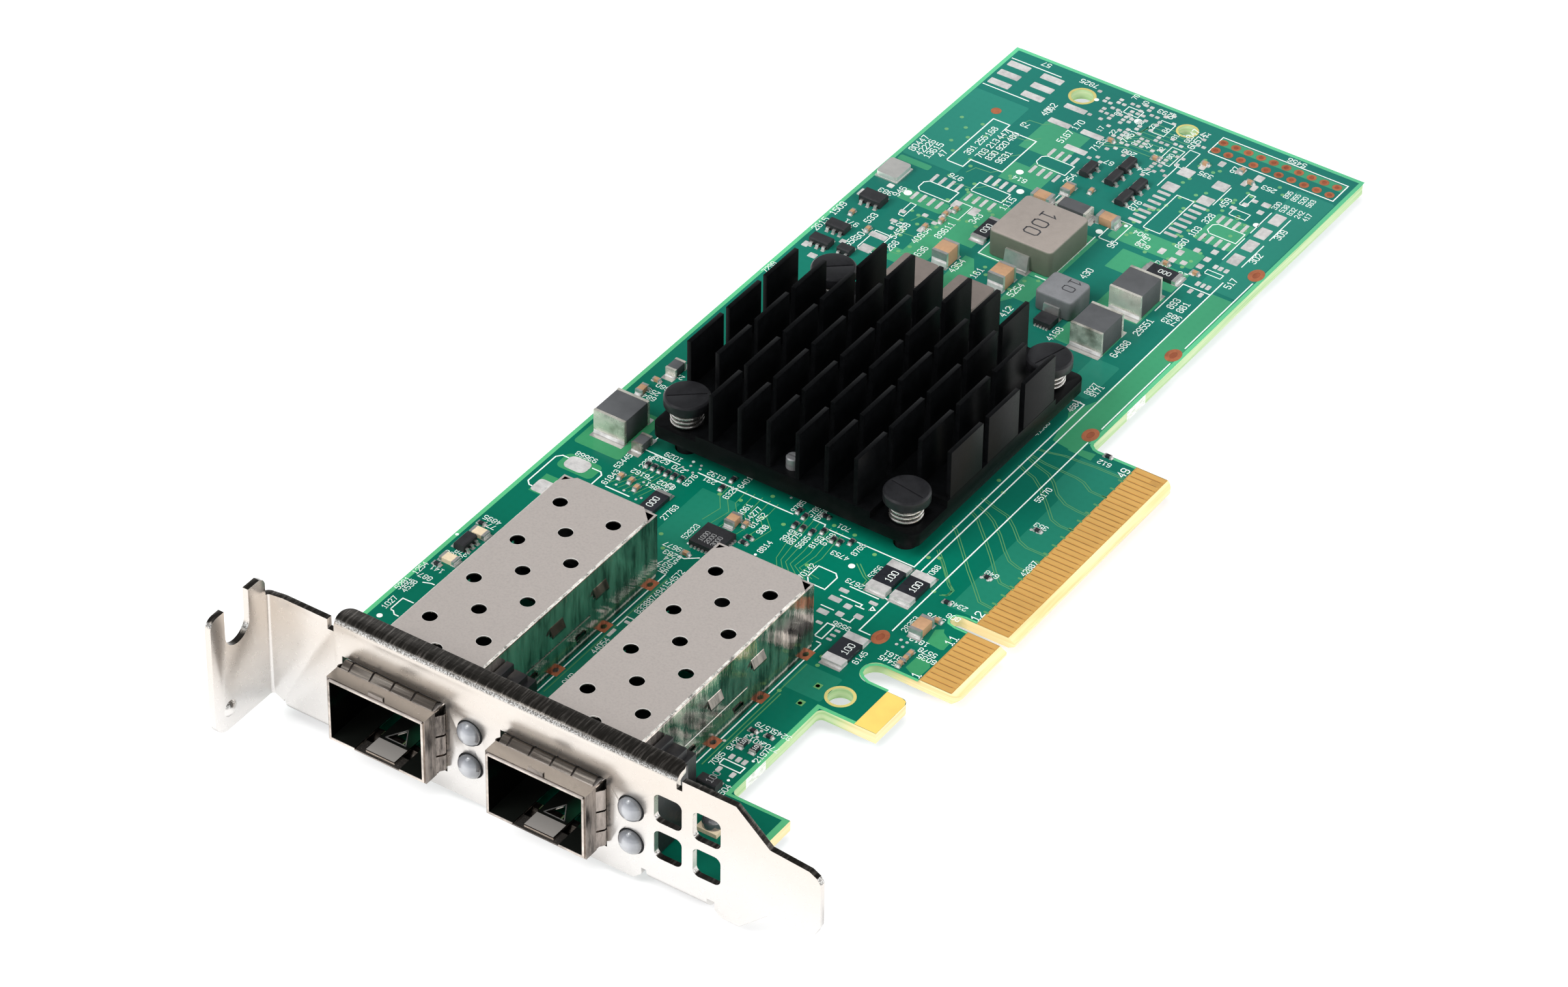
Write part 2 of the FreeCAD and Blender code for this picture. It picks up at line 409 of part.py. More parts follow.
# power conversion parts
pi = box(23.0, 33.0, 66.8, 76.7, 0.12, 4.2)
pi = pi.makeFillet(0.8, [e for e in pi.Edges if abs(e.CenterOfMass.z - 2.16) < 0.01])
pi = pi.makeChamfer(0.2, [e for e in pi.Edges if abs(e.CenterOfMass.z - 4.2) < 0.01])
add("power_inductor", pi)
for s, ye in ((-1, 66.8), (1, 76.7)):
    add("inductor_terminals", poly_x([(ye, 2.4), (ye + s * 0.35, 2.4), (ye + s * 0.75, 0.3), (ye + s * 1.0, 0.3),
                                      (ye + s * 1.0, 0), (ye, 0)], 26.0, 29.7))
gi = box(34.6, 40.4, 60.1, 65.4, 0.12, 3.2)
gi = gi.makeFillet(0.7, [e for e in gi.Edges if abs(e.CenterOfMass.z - 1.66) < 0.01])
gi = gi.makeChamfer(0.25, [e for e in gi.Edges if abs(e.CenterOfMass.z - 3.2) < 0.01])
add("grey_inductor", gi)
for s, ye in ((-1, 60.1), (1, 65.4)):
    add("inductor_terminals", poly_x([(ye, 1.8), (ye + s * 0.3, 1.8), (ye + s * 0.5, 0.25), (ye + s * 0.5, 0), (ye, 0)],
                                     36.3, 38.7))
for x0, x1 in ((15.9, 21.4), (24.4, 30.2)):
    b = box(x0, x1, 51.7, 57.5, 0.12, 3.0)
    b = b.makeFillet(0.5, [e for e in b.Edges if abs(e.CenterOfMass.z - 1.56) < 0.01])
    add("brown_inductors", b)
    xm = (x0 + x1) / 2
    for s, ye in ((-1, 51.7), (1, 57.5)):
        add("inductor_terminals", box(xm - 1.2, xm + 1.2, min(ye, ye + s * 0.5), max(ye, ye + s * 0.5), 0, 1.6))
# ferrite blocks with metal ends
for x0, y0 in ((2.3, 5.0), (42.7, 56.2), (42.7, 66.0)):
    chip("ferrite_blocks", "ferrite_ends", x0, x0 + 4.9, y0, y0 + 5.6, 3.7, 0.42)
for x0, y0 in ((8.4, 4.8), (2.9, 20.2)):
    chip("ferrite_blocks", "ferrite_ends", x0, x0 + 1.6, y0, y0 + 2.5, 1.3, 0.35)
chip("ferrite_blocks", "ferrite_ends", 25.3, 30.2, 80.2, 82.4, 1.5, 0.4, "x")
# current sense resistors: metal strip ends
for x0, y0 in ((51.75, -15.9), (48.5, -1.15), (52.1, -1.15)):
    chip("sense_resistors", "sense_ends", x0, x0 + 3.0, y0, y0 + 6.1, 0.62, 1.35)
# wide zero-ohm links
chip("link_resistors", "link_ends", 16.2, 18.4, -5.2, -0.3, 0.6, 0.55)
chip("link_resistors", "link_ends", 19.2, 21.4, 68.5, 73.7, 0.6, 0.6)
chip("link_resistors", "link_ends", 42.3, 47.5, 75.2, 77.4, 0.6, 0.6, "x")
# ceramic capacitors
for x0, x1, y0, y1, h, cap, al in (
        (18.0, 20.4, 60.7, 63.9, 2.4, 0.45, "y"), (26.9, 29.4, 60.7, 63.9, 2.4, 0.45, "y"),
        (57.9, 59.7, -5.7, -2.5, 1.3, 0.5, "y"), (21.2, 24.2, 80.4, 82.1, 1.3, 0.5, "x"),
        (31.2, 34.2, 81.2, 82.9, 1.3, 0.5, "x"), (27.0, 28.4, -1.2, 0.9, 1.1, 0.4, "y"),
        (23.6, 25.0, 84.2, 86.3, 0.9, 0.4, "y"), (2.0, 3.0, 14.6, 16.4, 0.8, 0.35, "y")):
    chip("ceramic_capacitors", "capacitor_ends", x0, x1, y0, y1, h, cap, al)
# leaded and leadless packages
qfn = box(25.5, 29.8, -6.8, -2.5, 0.02, 0.85)
add("ic_bodies", qfn)
for i in range(7):
    c = 25.98 + 0.56 * i
    add("ic_leads", box(c - 0.13, c + 0.13, -7.05, -6.8, 0, 0.22), box(c - 0.13, c + 0.13, -2.5, -2.25, 0, 0.22))
    c = -6.33 + 0.56 * i
    add("ic_leads", box(29.8, 30.05, c - 0.13, c + 0.13, 0, 0.22), box(25.25, 25.5, c - 0.13, c + 0.13, 0, 0.22))
add("ic_bodies", box(36.4, 39.0, 57.2, 59.4, 0.02, 0.9))
for i in range(5):
    c = 36.8 + 0.45 * i
    add("ic_leads", box(c - 0.11, c + 0.11, 56.95, 57.2, 0, 0.2))
leaded(52.3, 55.1, -43.6, -42.0, 1.15, 3, "y", w=0.42, pitch=0.95)
leaded(1.75, 3.35, -24.3, -21.5, 1.1, 3, "x", w=0.42, pitch=0.95)
leaded(2.0, 5.0, 55.0, 56.7, 1.05, 3, "y", w=0.45, pitch=1.0)
leaded(2.0, 5.0, 59.0, 60.7, 1.05, 3, "y", w=0.45, pitch=1.0)
leaded(6.2, 8.2, 55.4, 56.9, 0.9, 2, "y", w=0.4, pitch=1.2)
leaded(2.2, 5.6, 66.8, 69.0, 1.2, 3, "y", w=0.45, pitch=1.15)
for cx, cy in ((24.2, 90.7), (28.1, 91.0), (28.1, 94.6), (31.7, 87.8), (31.9, 91.2)):
    leaded(cx - 0.65, cx + 0.65, cy - 1.5, cy + 1.5, 1.0, 2, "x", w=0.45, pitch=1.8)
# resonator can and indicator lamps
can = box(0.8, 4.2, 73.1, 77.0, 0.25, 0.95)
can = can.makeFillet(0.5, [e for e in can.Edges if abs(e.CenterOfMass.z - 0.6) < 0.01])
add("resonator_can", can.fuse(box(0.7, 4.3, 73.0, 77.1, 0, 0.25)).removeSplitter())
for y in (-26.5, -20.2):
    chip("lamp_bodies", "lamp_ends", 1.6, 3.9, y - 0.7, y + 0.7, 0.65, 0.4, "x", 0.0)
lens = cyl(58.3, -48.6, 0.6, 1.2, 1.4).fuse(Part.makeSphere(1.4, V(58.3, -48.6, 1.2)))
lens = lens.common(box(50, 70, -55, -40, 0.6, 5)).removeSplitter()
add("lamp_lens", lens)
add("lamp_bodies", box(56.8, 59.8, -50.1, -47.1, 0, 0.6))

# chip resistors and small capacitors, 1.0 x 0.5 mm class
res = []
for x in (12.0, 13.0, 14.0, 15.05, 16.1, 17.2):
    res.append((x, 3.4, "y"))
res += [(22.5, 4.9, "y"), (22.7, 7.1, "y"), (33.2, 6.7, "y"), (34.35, 4.1, "y"), (34.4, 6.2, "y"), (35.5, 4.1, "y"),
        (36.9, 4.1, "y"), (38.0, 5.1, "y"), (39.95, 4.4, "y"), (40.95, 4.4, "y"), (42.1, 5.3, "y"), (36.6, 7.7, "x"),
        (31.0, -2.6, "x"), (31.0, -1.4, "x"), (58.5, 2.2, "x"), (59.6, 38.7, "x"), (52.4, -31.6, "x"),
        (54.6, -31.4, "x"), (1.9, -28.0, "x"), (1.7, -18.4, "x"), (60.0, 9.2, "x"), (60.2, 20.7, "x")]
big = [(52.75, -34.3), (54.55, -34.3)]
for x, y, al in res:
    a, b = (0.26, 0.52) if al == "y" else (0.52, 0.26)
    chip("chip_resistors", "resistor_ends", x - a, x + a, y - b, y + b, 0.36, 0.2, al)
for x, y in big:
    chip("chip_resistors", "resistor_ends", x - 0.42, x + 0.42, y - 0.8, y + 0.8, 0.45, 0.3, "y")
caps = [(60.2, -11.0, "y"), (60.2, -9.8, "y"), (60.2, -8.7, "y"), (10.6, -0.6, "y"), (12.2, -0.6, "y"),
        (13.6, -1.4, "y"), (29.2, 0.5, "y"), (26.3, -8.6, "x"), (59.5, -1.5, "x"), (2.8, 15.0 + 3.4, "x"),
        (3.0, 64.0, "y"), (12.9, 66.9, "y"), (14.0, 69.4, "y"), (14.2, 72.6, "y"), (13.6, 70.9, "y"),
        (6.9, 62.0, "y"), (27.0, 86.9, "y"), (30.2, 98.5, "x"), (22.9, 98.6, "x"), (44.0, 78.6, "x"),
        (48.4, 79.0, "x"), (43.8, 101.2, "x"), (36.5, 101.4, "x"), (41.5, 103.0, "y")]
for x, y, al in caps:
    a, b = (0.28, 0.55) if al == "y" else (0.55, 0.28)
    chip("chip_capacitors", "resistor_ends", x - a, x + a, y - b, y + b, 0.5, 0.22, al)

# ---------------------------------------------------------------- move the origin and write
solids = {n: (s[0] if len(s) == 1 else Part.makeCompound(s)) for n, s in nodes.items()}
bb = Part.makeCompound(list(solids.values())).BoundBox
shift = V(-(bb.XMin + bb.XMax) / 2, -(bb.YMin + bb.YMax) / 2, -bb.ZMin)
print("extent", [round(v, 4) for v in (bb.XMin, bb.XMax, bb.YMin, bb.YMax, bb.ZMin, bb.ZMax)])
print("shift", [round(v, 4) for v in shift])
for n, s in solids.items():
    s = s.copy()
    s.translate(shift)
    ok = s.isValid() and all(x.Volume > 0 for x in s.Solids)
    print("%-22s solids %3d volume %10.2f %s" % (n, len(s.Solids), sum(x.Volume for x in s.Solids), "" if ok else "INVALID"))
    s.exportStep("parts/%s.step" % n)
print("nodes", len(solids))
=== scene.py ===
import bpy
import bmesh
import math
import json
import random
from mathutils import Vector, Matrix


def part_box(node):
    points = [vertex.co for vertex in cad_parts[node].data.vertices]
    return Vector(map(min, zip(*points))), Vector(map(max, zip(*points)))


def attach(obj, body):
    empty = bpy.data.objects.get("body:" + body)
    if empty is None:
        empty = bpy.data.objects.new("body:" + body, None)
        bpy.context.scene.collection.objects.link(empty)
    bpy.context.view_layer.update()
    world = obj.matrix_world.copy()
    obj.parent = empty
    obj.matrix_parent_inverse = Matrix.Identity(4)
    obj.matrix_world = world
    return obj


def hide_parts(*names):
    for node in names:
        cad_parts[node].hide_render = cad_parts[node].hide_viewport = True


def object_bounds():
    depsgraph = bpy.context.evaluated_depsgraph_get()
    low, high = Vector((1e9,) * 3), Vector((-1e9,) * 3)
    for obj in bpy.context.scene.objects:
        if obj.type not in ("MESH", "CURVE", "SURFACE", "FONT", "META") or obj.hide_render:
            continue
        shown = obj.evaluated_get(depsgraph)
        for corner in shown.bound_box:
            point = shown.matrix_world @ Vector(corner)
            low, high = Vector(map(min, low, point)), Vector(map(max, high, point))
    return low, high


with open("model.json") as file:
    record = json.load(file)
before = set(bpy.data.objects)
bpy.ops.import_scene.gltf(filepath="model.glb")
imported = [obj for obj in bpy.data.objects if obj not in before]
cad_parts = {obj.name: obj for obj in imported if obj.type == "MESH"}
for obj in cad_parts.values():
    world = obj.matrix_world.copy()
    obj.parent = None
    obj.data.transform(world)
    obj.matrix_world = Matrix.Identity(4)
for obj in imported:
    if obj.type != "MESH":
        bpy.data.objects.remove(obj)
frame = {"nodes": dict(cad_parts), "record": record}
cad_lo, cad_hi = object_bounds()
nodes = frame["nodes"]
rnd = random.Random(11)

# board datum: X 0 at the long edge, Y 0 at the keying notch, Z 0 on the component side
b_lo, b_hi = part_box("circuit_board")
OX, OY, OZ = b_lo.x, b_hi.y - 0.11055, b_hi.z
BT = b_hi.z - b_lo.z


def W(x, y, z=0.0):
    return Vector((OX + x / 1000, OY + y / 1000, OZ + z / 1000))


# ------------------------------------------------------------------ materials
def new_mat(name):
    m = bpy.data.materials.new(name)
    m.use_nodes = True
    nt = m.node_tree
    b = nt.nodes["Principled BSDF"]
    return m, nt, b


def noise(nt, vec, scale, detail=3.0, rough=0.55):
    n = nt.nodes.new("ShaderNodeTexNoise")
    n.inputs["Scale"].default_value = scale
    n.inputs["Detail"].default_value = detail
    n.inputs["Roughness"].default_value = rough
    nt.links.new(vec, n.inputs["Vector"])
    return n.outputs["Fac"]


def ramp(nt, fac, stops):
    r = nt.nodes.new("ShaderNodeValToRGB")
    e = r.color_ramp.elements
    e[0].position, e[0].color = stops[0][0], (*stops[0][1], 1)
    e[1].position, e[1].color = stops[-1][0], (*stops[-1][1], 1)
    for p, c in stops[1:-1]:
        k = e.new(p)
        k.color = (*c, 1)
    nt.links.new(fac, r.inputs["Fac"])
    return r.outputs["Color"]


def maprange(nt, fac, a, b, lo=0.3, hi=0.7):
    m = nt.nodes.new("ShaderNodeMapRange")
    m.inputs["From Min"].default_value = lo
    m.inputs["From Max"].default_value = hi
    m.inputs["To Min"].default_value = a
    m.inputs["To Max"].default_value = b
    nt.links.new(fac, m.inputs["Value"])
    return m.outputs["Result"]


def bump(nt, fac, strength, dist):
    n = nt.nodes.new("ShaderNodeBump")
    n.inputs["Strength"].default_value = strength
    n.inputs["Distance"].default_value = dist
    nt.links.new(fac, n.inputs["Height"])
    return n.outputs["Normal"]


def coords(nt, scale=(1, 1, 1)):
    t = nt.nodes.new("ShaderNodeTexCoord")
    if scale == (1, 1, 1):
        return t.outputs["Object"]
    m = nt.nodes.new("ShaderNodeMapping")
    m.inputs["Scale"].default_value = scale
    nt.links.new(t.outputs["Object"], m.inputs["Vector"])
    return m.outputs["Vector"]


def mul(c, k):
    return tuple(max(0.0, min(1.0, v * k)) for v in c)


def surface(name, color, metallic=0.0, rough=(0.3, 0.5), var=0.12, scale=900.0, bump_s=0.15, bump_d=0.00002,
            stretch=(1, 1, 1), dark=None, spec=0.5, coat=0.0, detail=2.0):
    m, nt, b = new_mat(name)
    v = coords(nt, stretch)
    f1 = noise(nt, v, scale, detail)
    f2 = noise(nt, v, scale * 0.17, 2.0)
    mix = nt.nodes.new("ShaderNodeMath")
    mix.operation = "MULTIPLY_ADD"
    nt.links.new(f2, mix.inputs[0])
    mix.inputs[1].default_value = 0.6
    sc = nt.nodes.new("ShaderNodeMath")
    sc.operation = "MULTIPLY"
    nt.links.new(f1, sc.inputs[0])
    sc.inputs[1].default_value = 0.4
    nt.links.new(sc.outputs[0], mix.inputs[2])
    lo = dark or mul(color, 1 - var)
    col = ramp(nt, mix.outputs[0], [(0.36, lo), (0.5, color), (0.64, mul(color, 1 + var * 0.8))])
    nt.links.new(col, b.inputs["Base Color"])
    b.inputs["Metallic"].default_value = metallic
    nt.links.new(maprange(nt, f1, rough[0], rough[1]), b.inputs["Roughness"])
    b.inputs["Specular IOR Level"].default_value = spec
    if coat:
        b.inputs["Coat Weight"].default_value = coat
        b.inputs["Coat Roughness"].default_value = 0.12
    nt.links.new(bump(nt, f1, bump_s, bump_d), b.inputs["Normal"])
    return m


MASK = (0.0012, 0.128, 0.080)


def axis(nt, which):
    t = nt.nodes.new("ShaderNodeTexCoord")
    sp = nt.nodes.new("ShaderNodeSeparateXYZ")
    nt.links.new(t.outputs["Object"], sp.inputs[0])
    return sp.outputs[which]


def math_(nt, op, a, b=None, clamp=False):
    n = nt.nodes.new("ShaderNodeMath")
    n.operation = op
    n.use_clamp = clamp
    for k, v in enumerate((a, b)):
        if v is None:
            continue
        if isinstance(v, (int, float)):
            n.inputs[k].default_value = v
        else:
            nt.links.new(v, n.inputs[k])
    return n.outputs[0]


def blend(nt, fac, a, b, mode="MIX"):
    m = nt.nodes.new("ShaderNodeMix")
    m.data_type = "RGBA"
    m.blend_type = mode
    for k, v in (("Factor", fac), ("A", a), ("B", b)):
        if isinstance(v, (int, float)):
            m.inputs[k].default_value = v
        elif isinstance(v, tuple):
            m.inputs[k].default_value = (*v, 1)
        else:
            nt.links.new(v, m.inputs[k])
    return m.outputs["Result"]


def normal_axis(nt, which, absolute=True):
    geo = nt.nodes.new("ShaderNodeNewGeometry")
    sp = nt.nodes.new("ShaderNodeSeparateXYZ")
    nt.links.new(geo.outputs["Normal"], sp.inputs[0])
    o = sp.outputs[which]
    return math_(nt, "ABSOLUTE", o) if absolute else o


# solder mask over the laminate: slow colour drift, glass weave under the mask
def mask_material(name, base, rough=(0.16, 0.26), side=True, far=True):
    m, nt, b = new_mat(name)
    v = coords(nt)
    slow = noise(nt, v, 26.0, 2.0)
    fine = noise(nt, v, 2600.0, 2.0)
    col = ramp(nt, slow, [(0.34, mul(base, 0.88)), (0.5, base), (0.68, mul(base, 1.16))])
    waves = []
    for d in ("X", "Y"):
        w = nt.nodes.new("ShaderNodeTexWave")
        w.bands_direction = d
        w.inputs["Scale"].default_value = 260.0
        w.inputs["Distortion"].default_value = 1.2
        nt.links.new(v, w.inputs["Vector"])
        waves.append(w.outputs["Fac"])
    ad = math_(nt, "ADD", waves[0], waves[1])
    out = blend(nt, 0.09, col, ramp(nt, ad, [(0.2, (0.55, 0.7, 0.6)), (1.0, (1, 1, 1))]), "MULTIPLY")
    if far:
        # the mask is painted paler and bluer towards the far end, a painted reflection
        far_painted_sheen = maprange(nt, axis(nt, "Y"), 0.0, 1.0, OY + 0.005, OY + 0.100)
        out = blend(nt, far_painted_sheen, out, blend(nt, 1.0, out, (0.014, 0.036, 0.050), "ADD"))
    nearer = maprange(nt, axis(nt, "X"), 1.0, 0.90, OX + 0.044, OX + 0.058)
    out = blend(nt, 1.0, out, nearer, "MULTIPLY")
    if side:
        is_side = maprange(nt, normal_axis(nt, "Z"), 1.0, 0.0, 0.80, 0.95)
        band = noise(nt, coords(nt, (60, 60, 2600)), 1.0, 3.0)
        green = ramp(nt, band, [(0.3, (0.30, 0.50, 0.22)), (0.5, (0.46, 0.62, 0.33)), (0.7, (0.60, 0.66, 0.42))])
        cream = ramp(nt, band, [(0.3, (0.72, 0.56, 0.26)), (0.5, (0.84, 0.68, 0.36)), (0.7, (0.88, 0.76, 0.46))])
        warm = maprange(nt, axis(nt, "X"), 0.0, 1.0, OX + 0.0585, OX + 0.0625)
        sidecol = blend(nt, warm, green, cream)
        # where the panel tabs were snapped off the fibres are white and rough
        snap = math_(nt, "LESS_THAN", math_(nt, "ABSOLUTE", math_(nt, "SUBTRACT", axis(nt, "Y"), OY - 0.0372)), 0.0021)
        snap2 = math_(nt, "LESS_THAN", math_(nt, "ABSOLUTE", math_(nt, "SUBTRACT", axis(nt, "Y"), OY + 0.0505)), 0.0023)
        fib = noise(nt, coords(nt, (900, 900, 3000)), 1.0, 3.0)
        white = ramp(nt, fib, [(0.35, (0.55, 0.60, 0.50)), (0.6, (0.86, 0.88, 0.84))])
        sidecol = blend(nt, math_(nt, "ADD", snap, snap2, True), sidecol, white)
        out = blend(nt, is_side, out, sidecol)
        tip = math_(nt, "GREATER_THAN", axis(nt, "X"), OX + 0.06836)
        out = blend(nt, tip, out, cream)
    nt.links.new(out, b.inputs["Base Color"])
    nt.links.new(maprange(nt, fine, rough[0], rough[1]), b.inputs["Roughness"])
    b.inputs["Specular IOR Level"].default_value = 0.13
    b.inputs["Coat Weight"].default_value = 0.02
    b.inputs["Coat Roughness"].default_value = 0.12
    return m


M = {}
M["pcb"] = mask_material("solder_mask", MASK)
M["pour"] = mask_material("mask_over_copper", (0.040, 0.255, 0.110), side=False)
M["pour_dark"] = mask_material("mask_over_plane", (0.012, 0.175, 0.11), side=False)
M["trace"] = mask_material("mask_over_trace", (0.085, 0.26, 0.105), side=False)
M["edge_strip"] = mask_material("mask_edge", (0.10, 0.46, 0.21), side=False)
M["via"] = mask_material("tented_via", (0.13, 0.33, 0.12), side=False)
M["laminate"] = surface("bare_laminate", (0.78, 0.53, 0.13), 0.0, (0.35, 0.5), 0.08, 500, 0.1)
M["rim"] = surface("bare_rim", (0.52, 0.46, 0.16), 0.0, (0.35, 0.5), 0.12, 900, 0.1)
M["gap"] = surface("contact_gap", (0.50, 0.275, 0.075), 0.1, (0.35, 0.5), 0.12, 900, 0.1)
M["gap_line"] = surface("contact_gap_line", (0.27, 0.14, 0.045), 0.1, (0.4, 0.6), 0.2, 900, 0.1)
M["gold"] = surface("gold_contact", (0.72, 0.415, 0.120), 0.35, (0.32, 0.46), 0.07, 1400, 0.08, stretch=(0.25, 1, 1))
M["copper"] = surface("bare_copper_pad", (0.62, 0.21, 0.10), 0.6, (0.35, 0.5), 0.25, 1600, 0.25)
M["tin"] = surface("tinned_metal", (0.80, 0.785, 0.76), 0.85, (0.28, 0.44), 0.14, 1800, 0.25, 0.00002)
M["solder"] = surface("solder", (0.84, 0.82, 0.80), 0.50, (0.28, 0.42), 0.22, 1600, 0.35, 0.00003)
M["silk"] = surface("white_legend", (0.80, 0.86, 0.82), 0.0, (0.5, 0.65), 0.07, 3000, 0.15)
M["black_plastic"] = surface("black_moulding", (0.012, 0.012, 0.0135), 0.0, (0.34, 0.46), 0.25, 3500, 0.35, spec=0.45)
M["epoxy_black"] = surface("black_epoxy", (0.022, 0.022, 0.024), 0.0, (0.42, 0.6), 0.25, 5000, 0.4)
M["resistor_black"] = surface("resistor_glaze", (0.018, 0.019, 0.024), 0.0, (0.25, 0.4), 0.25, 1800, 0.3, coat=0.1)
M["ferrite"] = surface("ferrite_grey", (0.080, 0.083, 0.087), 0.0, (0.55, 0.7), 0.12, 3000, 0.5)
M["inductor_brown"] = surface("pressed_iron_brown", (0.290, 0.254, 0.227), 0.0, (0.5, 0.62), 0.07, 4200, 0.4)
# a darker copy of the pressed iron for the inductors behind the heatsink: painted shade
M["inductor_painted_shade"] = surface("pressed_iron_painted_shade", (0.165, 0.14, 0.125), 0.0, (0.55, 0.7), 0.10, 4200, 0.5)
M["inductor_grey"] = surface("pressed_iron_grey", (0.180, 0.184, 0.192), 0.0, (0.5, 0.65), 0.10, 4200, 0.5)
M["capacitor_tan"] = surface("ceramic_tan", (0.43, 0.255, 0.145), 0.0, (0.35, 0.5), 0.12, 2500, 0.25)
M["can"] = surface("plated_can", (0.85, 0.84, 0.80), 0.75, (0.28, 0.4), 0.06, 1600, 0.2)
M["lamp"] = surface("lamp_body", (0.80, 0.66, 0.46), 0.0, (0.3, 0.45), 0.10, 2500, 0.2)
M["pad"] = surface("thermal_compound", (0.42, 0.44, 0.48), 0.0, (0.7, 0.85), 0.15, 1800, 0.6)
M["silicon_cap"] = surface("package_lid", (0.50, 0.51, 0.53), 0.9, (0.3, 0.4), 0.08, 1500, 0.2)
M["stud"] = surface("turned_stud", (0.50, 0.50, 0.51), 0.8, (0.35, 0.5), 0.14, 2600, 0.35, stretch=(1, 1, 6))
M["spring_steel"] = surface("spring_wire", (0.80, 0.77, 0.73), 0.95, (0.20, 0.30), 0.08, 1500, 0.05)
M["anodised"] = surface("black_anodise", (0.0025, 0.0027, 0.0030), 0.0, (0.30, 0.40), 0.35, 4200, 0.3, spec=0.11)


# painted shade: darkens and tints the side faces of a part, picked by their normal
def shade_sides(m, tint):
    nt, b = m.node_tree, m.node_tree.nodes["Principled BSDF"]
    src = b.inputs["Base Color"].links[0].from_socket
    side = maprange(nt, normal_axis(nt, "Z"), 1.0, 0.0, 0.30, 0.75)
    nt.links.new(blend(nt, side, src, blend(nt, 1.0, src, tint, "MULTIPLY")), b.inputs["Base Color"])


shade_sides(M["inductor_brown"], (0.40, 0.52, 0.43))
shade_sides(M["inductor_grey"], (0.66, 0.70, 0.68))
shade_sides(M["ferrite"], (0.80, 0.82, 0.80))
# near-black for the painted shadow ring round each light guide
M["slit"] = surface("painted_shadow_gap", (0.01, 0.01, 0.01), 0.0, (0.7, 0.9), 0.3, 2000, 0.2)


# satin nickel sheet: fine orange-peel on the flats, brushed across the bend; painted reflection makes it paler towards
# its lower edge and dark on the upward-facing lip, with a band of painted glints on the bend
def plate_material():
    m, nt, b = new_mat("nickel_plate")
    up = maprange(nt, normal_axis(nt, "Z"), 0.0, 1.0, 0.25, 0.8)
    v = coords(nt)
    slow = noise(nt, v, 60.0, 3.0)
    peel = noise(nt, v, 1500.0, 3.0)
    streak = noise(nt, coords(nt, (3600, 260, 260)), 1.0, 3.0, 0.6)
    speck = noise(nt, v, 3800.0, 2.0, 0.6)
    hi = ramp(nt, slow, [(0.3, (0.71, 0.645, 0.58)), (0.5, (0.735, 0.675, 0.615)), (0.7, (0.76, 0.705, 0.65))])
    lo = ramp(nt, slow, [(0.3, (0.735, 0.71, 0.685)), (0.5, (0.75, 0.728, 0.705)), (0.7, (0.765, 0.745, 0.725))])
    # painted reflection: paler low on the plate
    painted_reflection_height = maprange(nt, axis(nt, "Z"), 0.0, 1.0, OZ + 0.003, OZ + 0.0125)
    face = blend(nt, painted_reflection_height, lo, hi)
    # painted reflection: the upward-facing lip is painted dark
    lip_painted_dark = ramp(nt, streak, [(0.38, (0.060, 0.054, 0.047)), (0.53, (0.092, 0.083, 0.073)), (0.68, (0.27, 0.245, 0.22))])
    out = blend(nt, up, face, lip_painted_dark)
    nz = normal_axis(nt, "Z", False)
    # painted glints in a band on the bend
    bend_glint_band = math_(nt, "MULTIPLY", maprange(nt, nz, 0.0, 1.0, 0.30, 0.45), maprange(nt, nz, 1.0, 0.0, 0.62, 0.76))
    glint_noise = noise(nt, v, 5200.0, 2.0, 0.6)
    out = blend(nt, bend_glint_band, out, ramp(nt, glint_noise, [(0.42, (0.30, 0.28, 0.26)), (0.52, (0.72, 0.69, 0.65)), (0.60, (1.0, 0.98, 0.95))]))
    nt.links.new(out, b.inputs["Base Color"])
    b.inputs["Metallic"].default_value = 0.94
    rf = maprange(nt, peel, 0.27, 0.29)
    rl = maprange(nt, streak, 0.10, 0.24)
    mr = nt.nodes.new("ShaderNodeMix")
    nt.links.new(up, mr.inputs["Factor"])
    nt.links.new(rf, mr.inputs["A"])
    nt.links.new(rl, mr.inputs["B"])
    nt.links.new(mr.outputs["Result"], b.inputs["Roughness"])
    # speckle on the rolled part only
    rolled = math_(nt, "MULTIPLY", maprange(nt, normal_axis(nt, "Z"), 0.0, 1.0, 0.15, 0.5), 1.0)
    bp = nt.nodes.new("ShaderNodeBump")
    bp.inputs["Distance"].default_value = 0.00004
    nt.links.new(math_(nt, "ADD", math_(nt, "MULTIPLY", rolled, 0.28), 0.004), bp.inputs["Strength"])
    nt.links.new(speck, bp.inputs["Height"])
    nt.links.new(bp.outputs["Normal"], b.inputs["Normal"])
    return m


M["plate"] = plate_material()
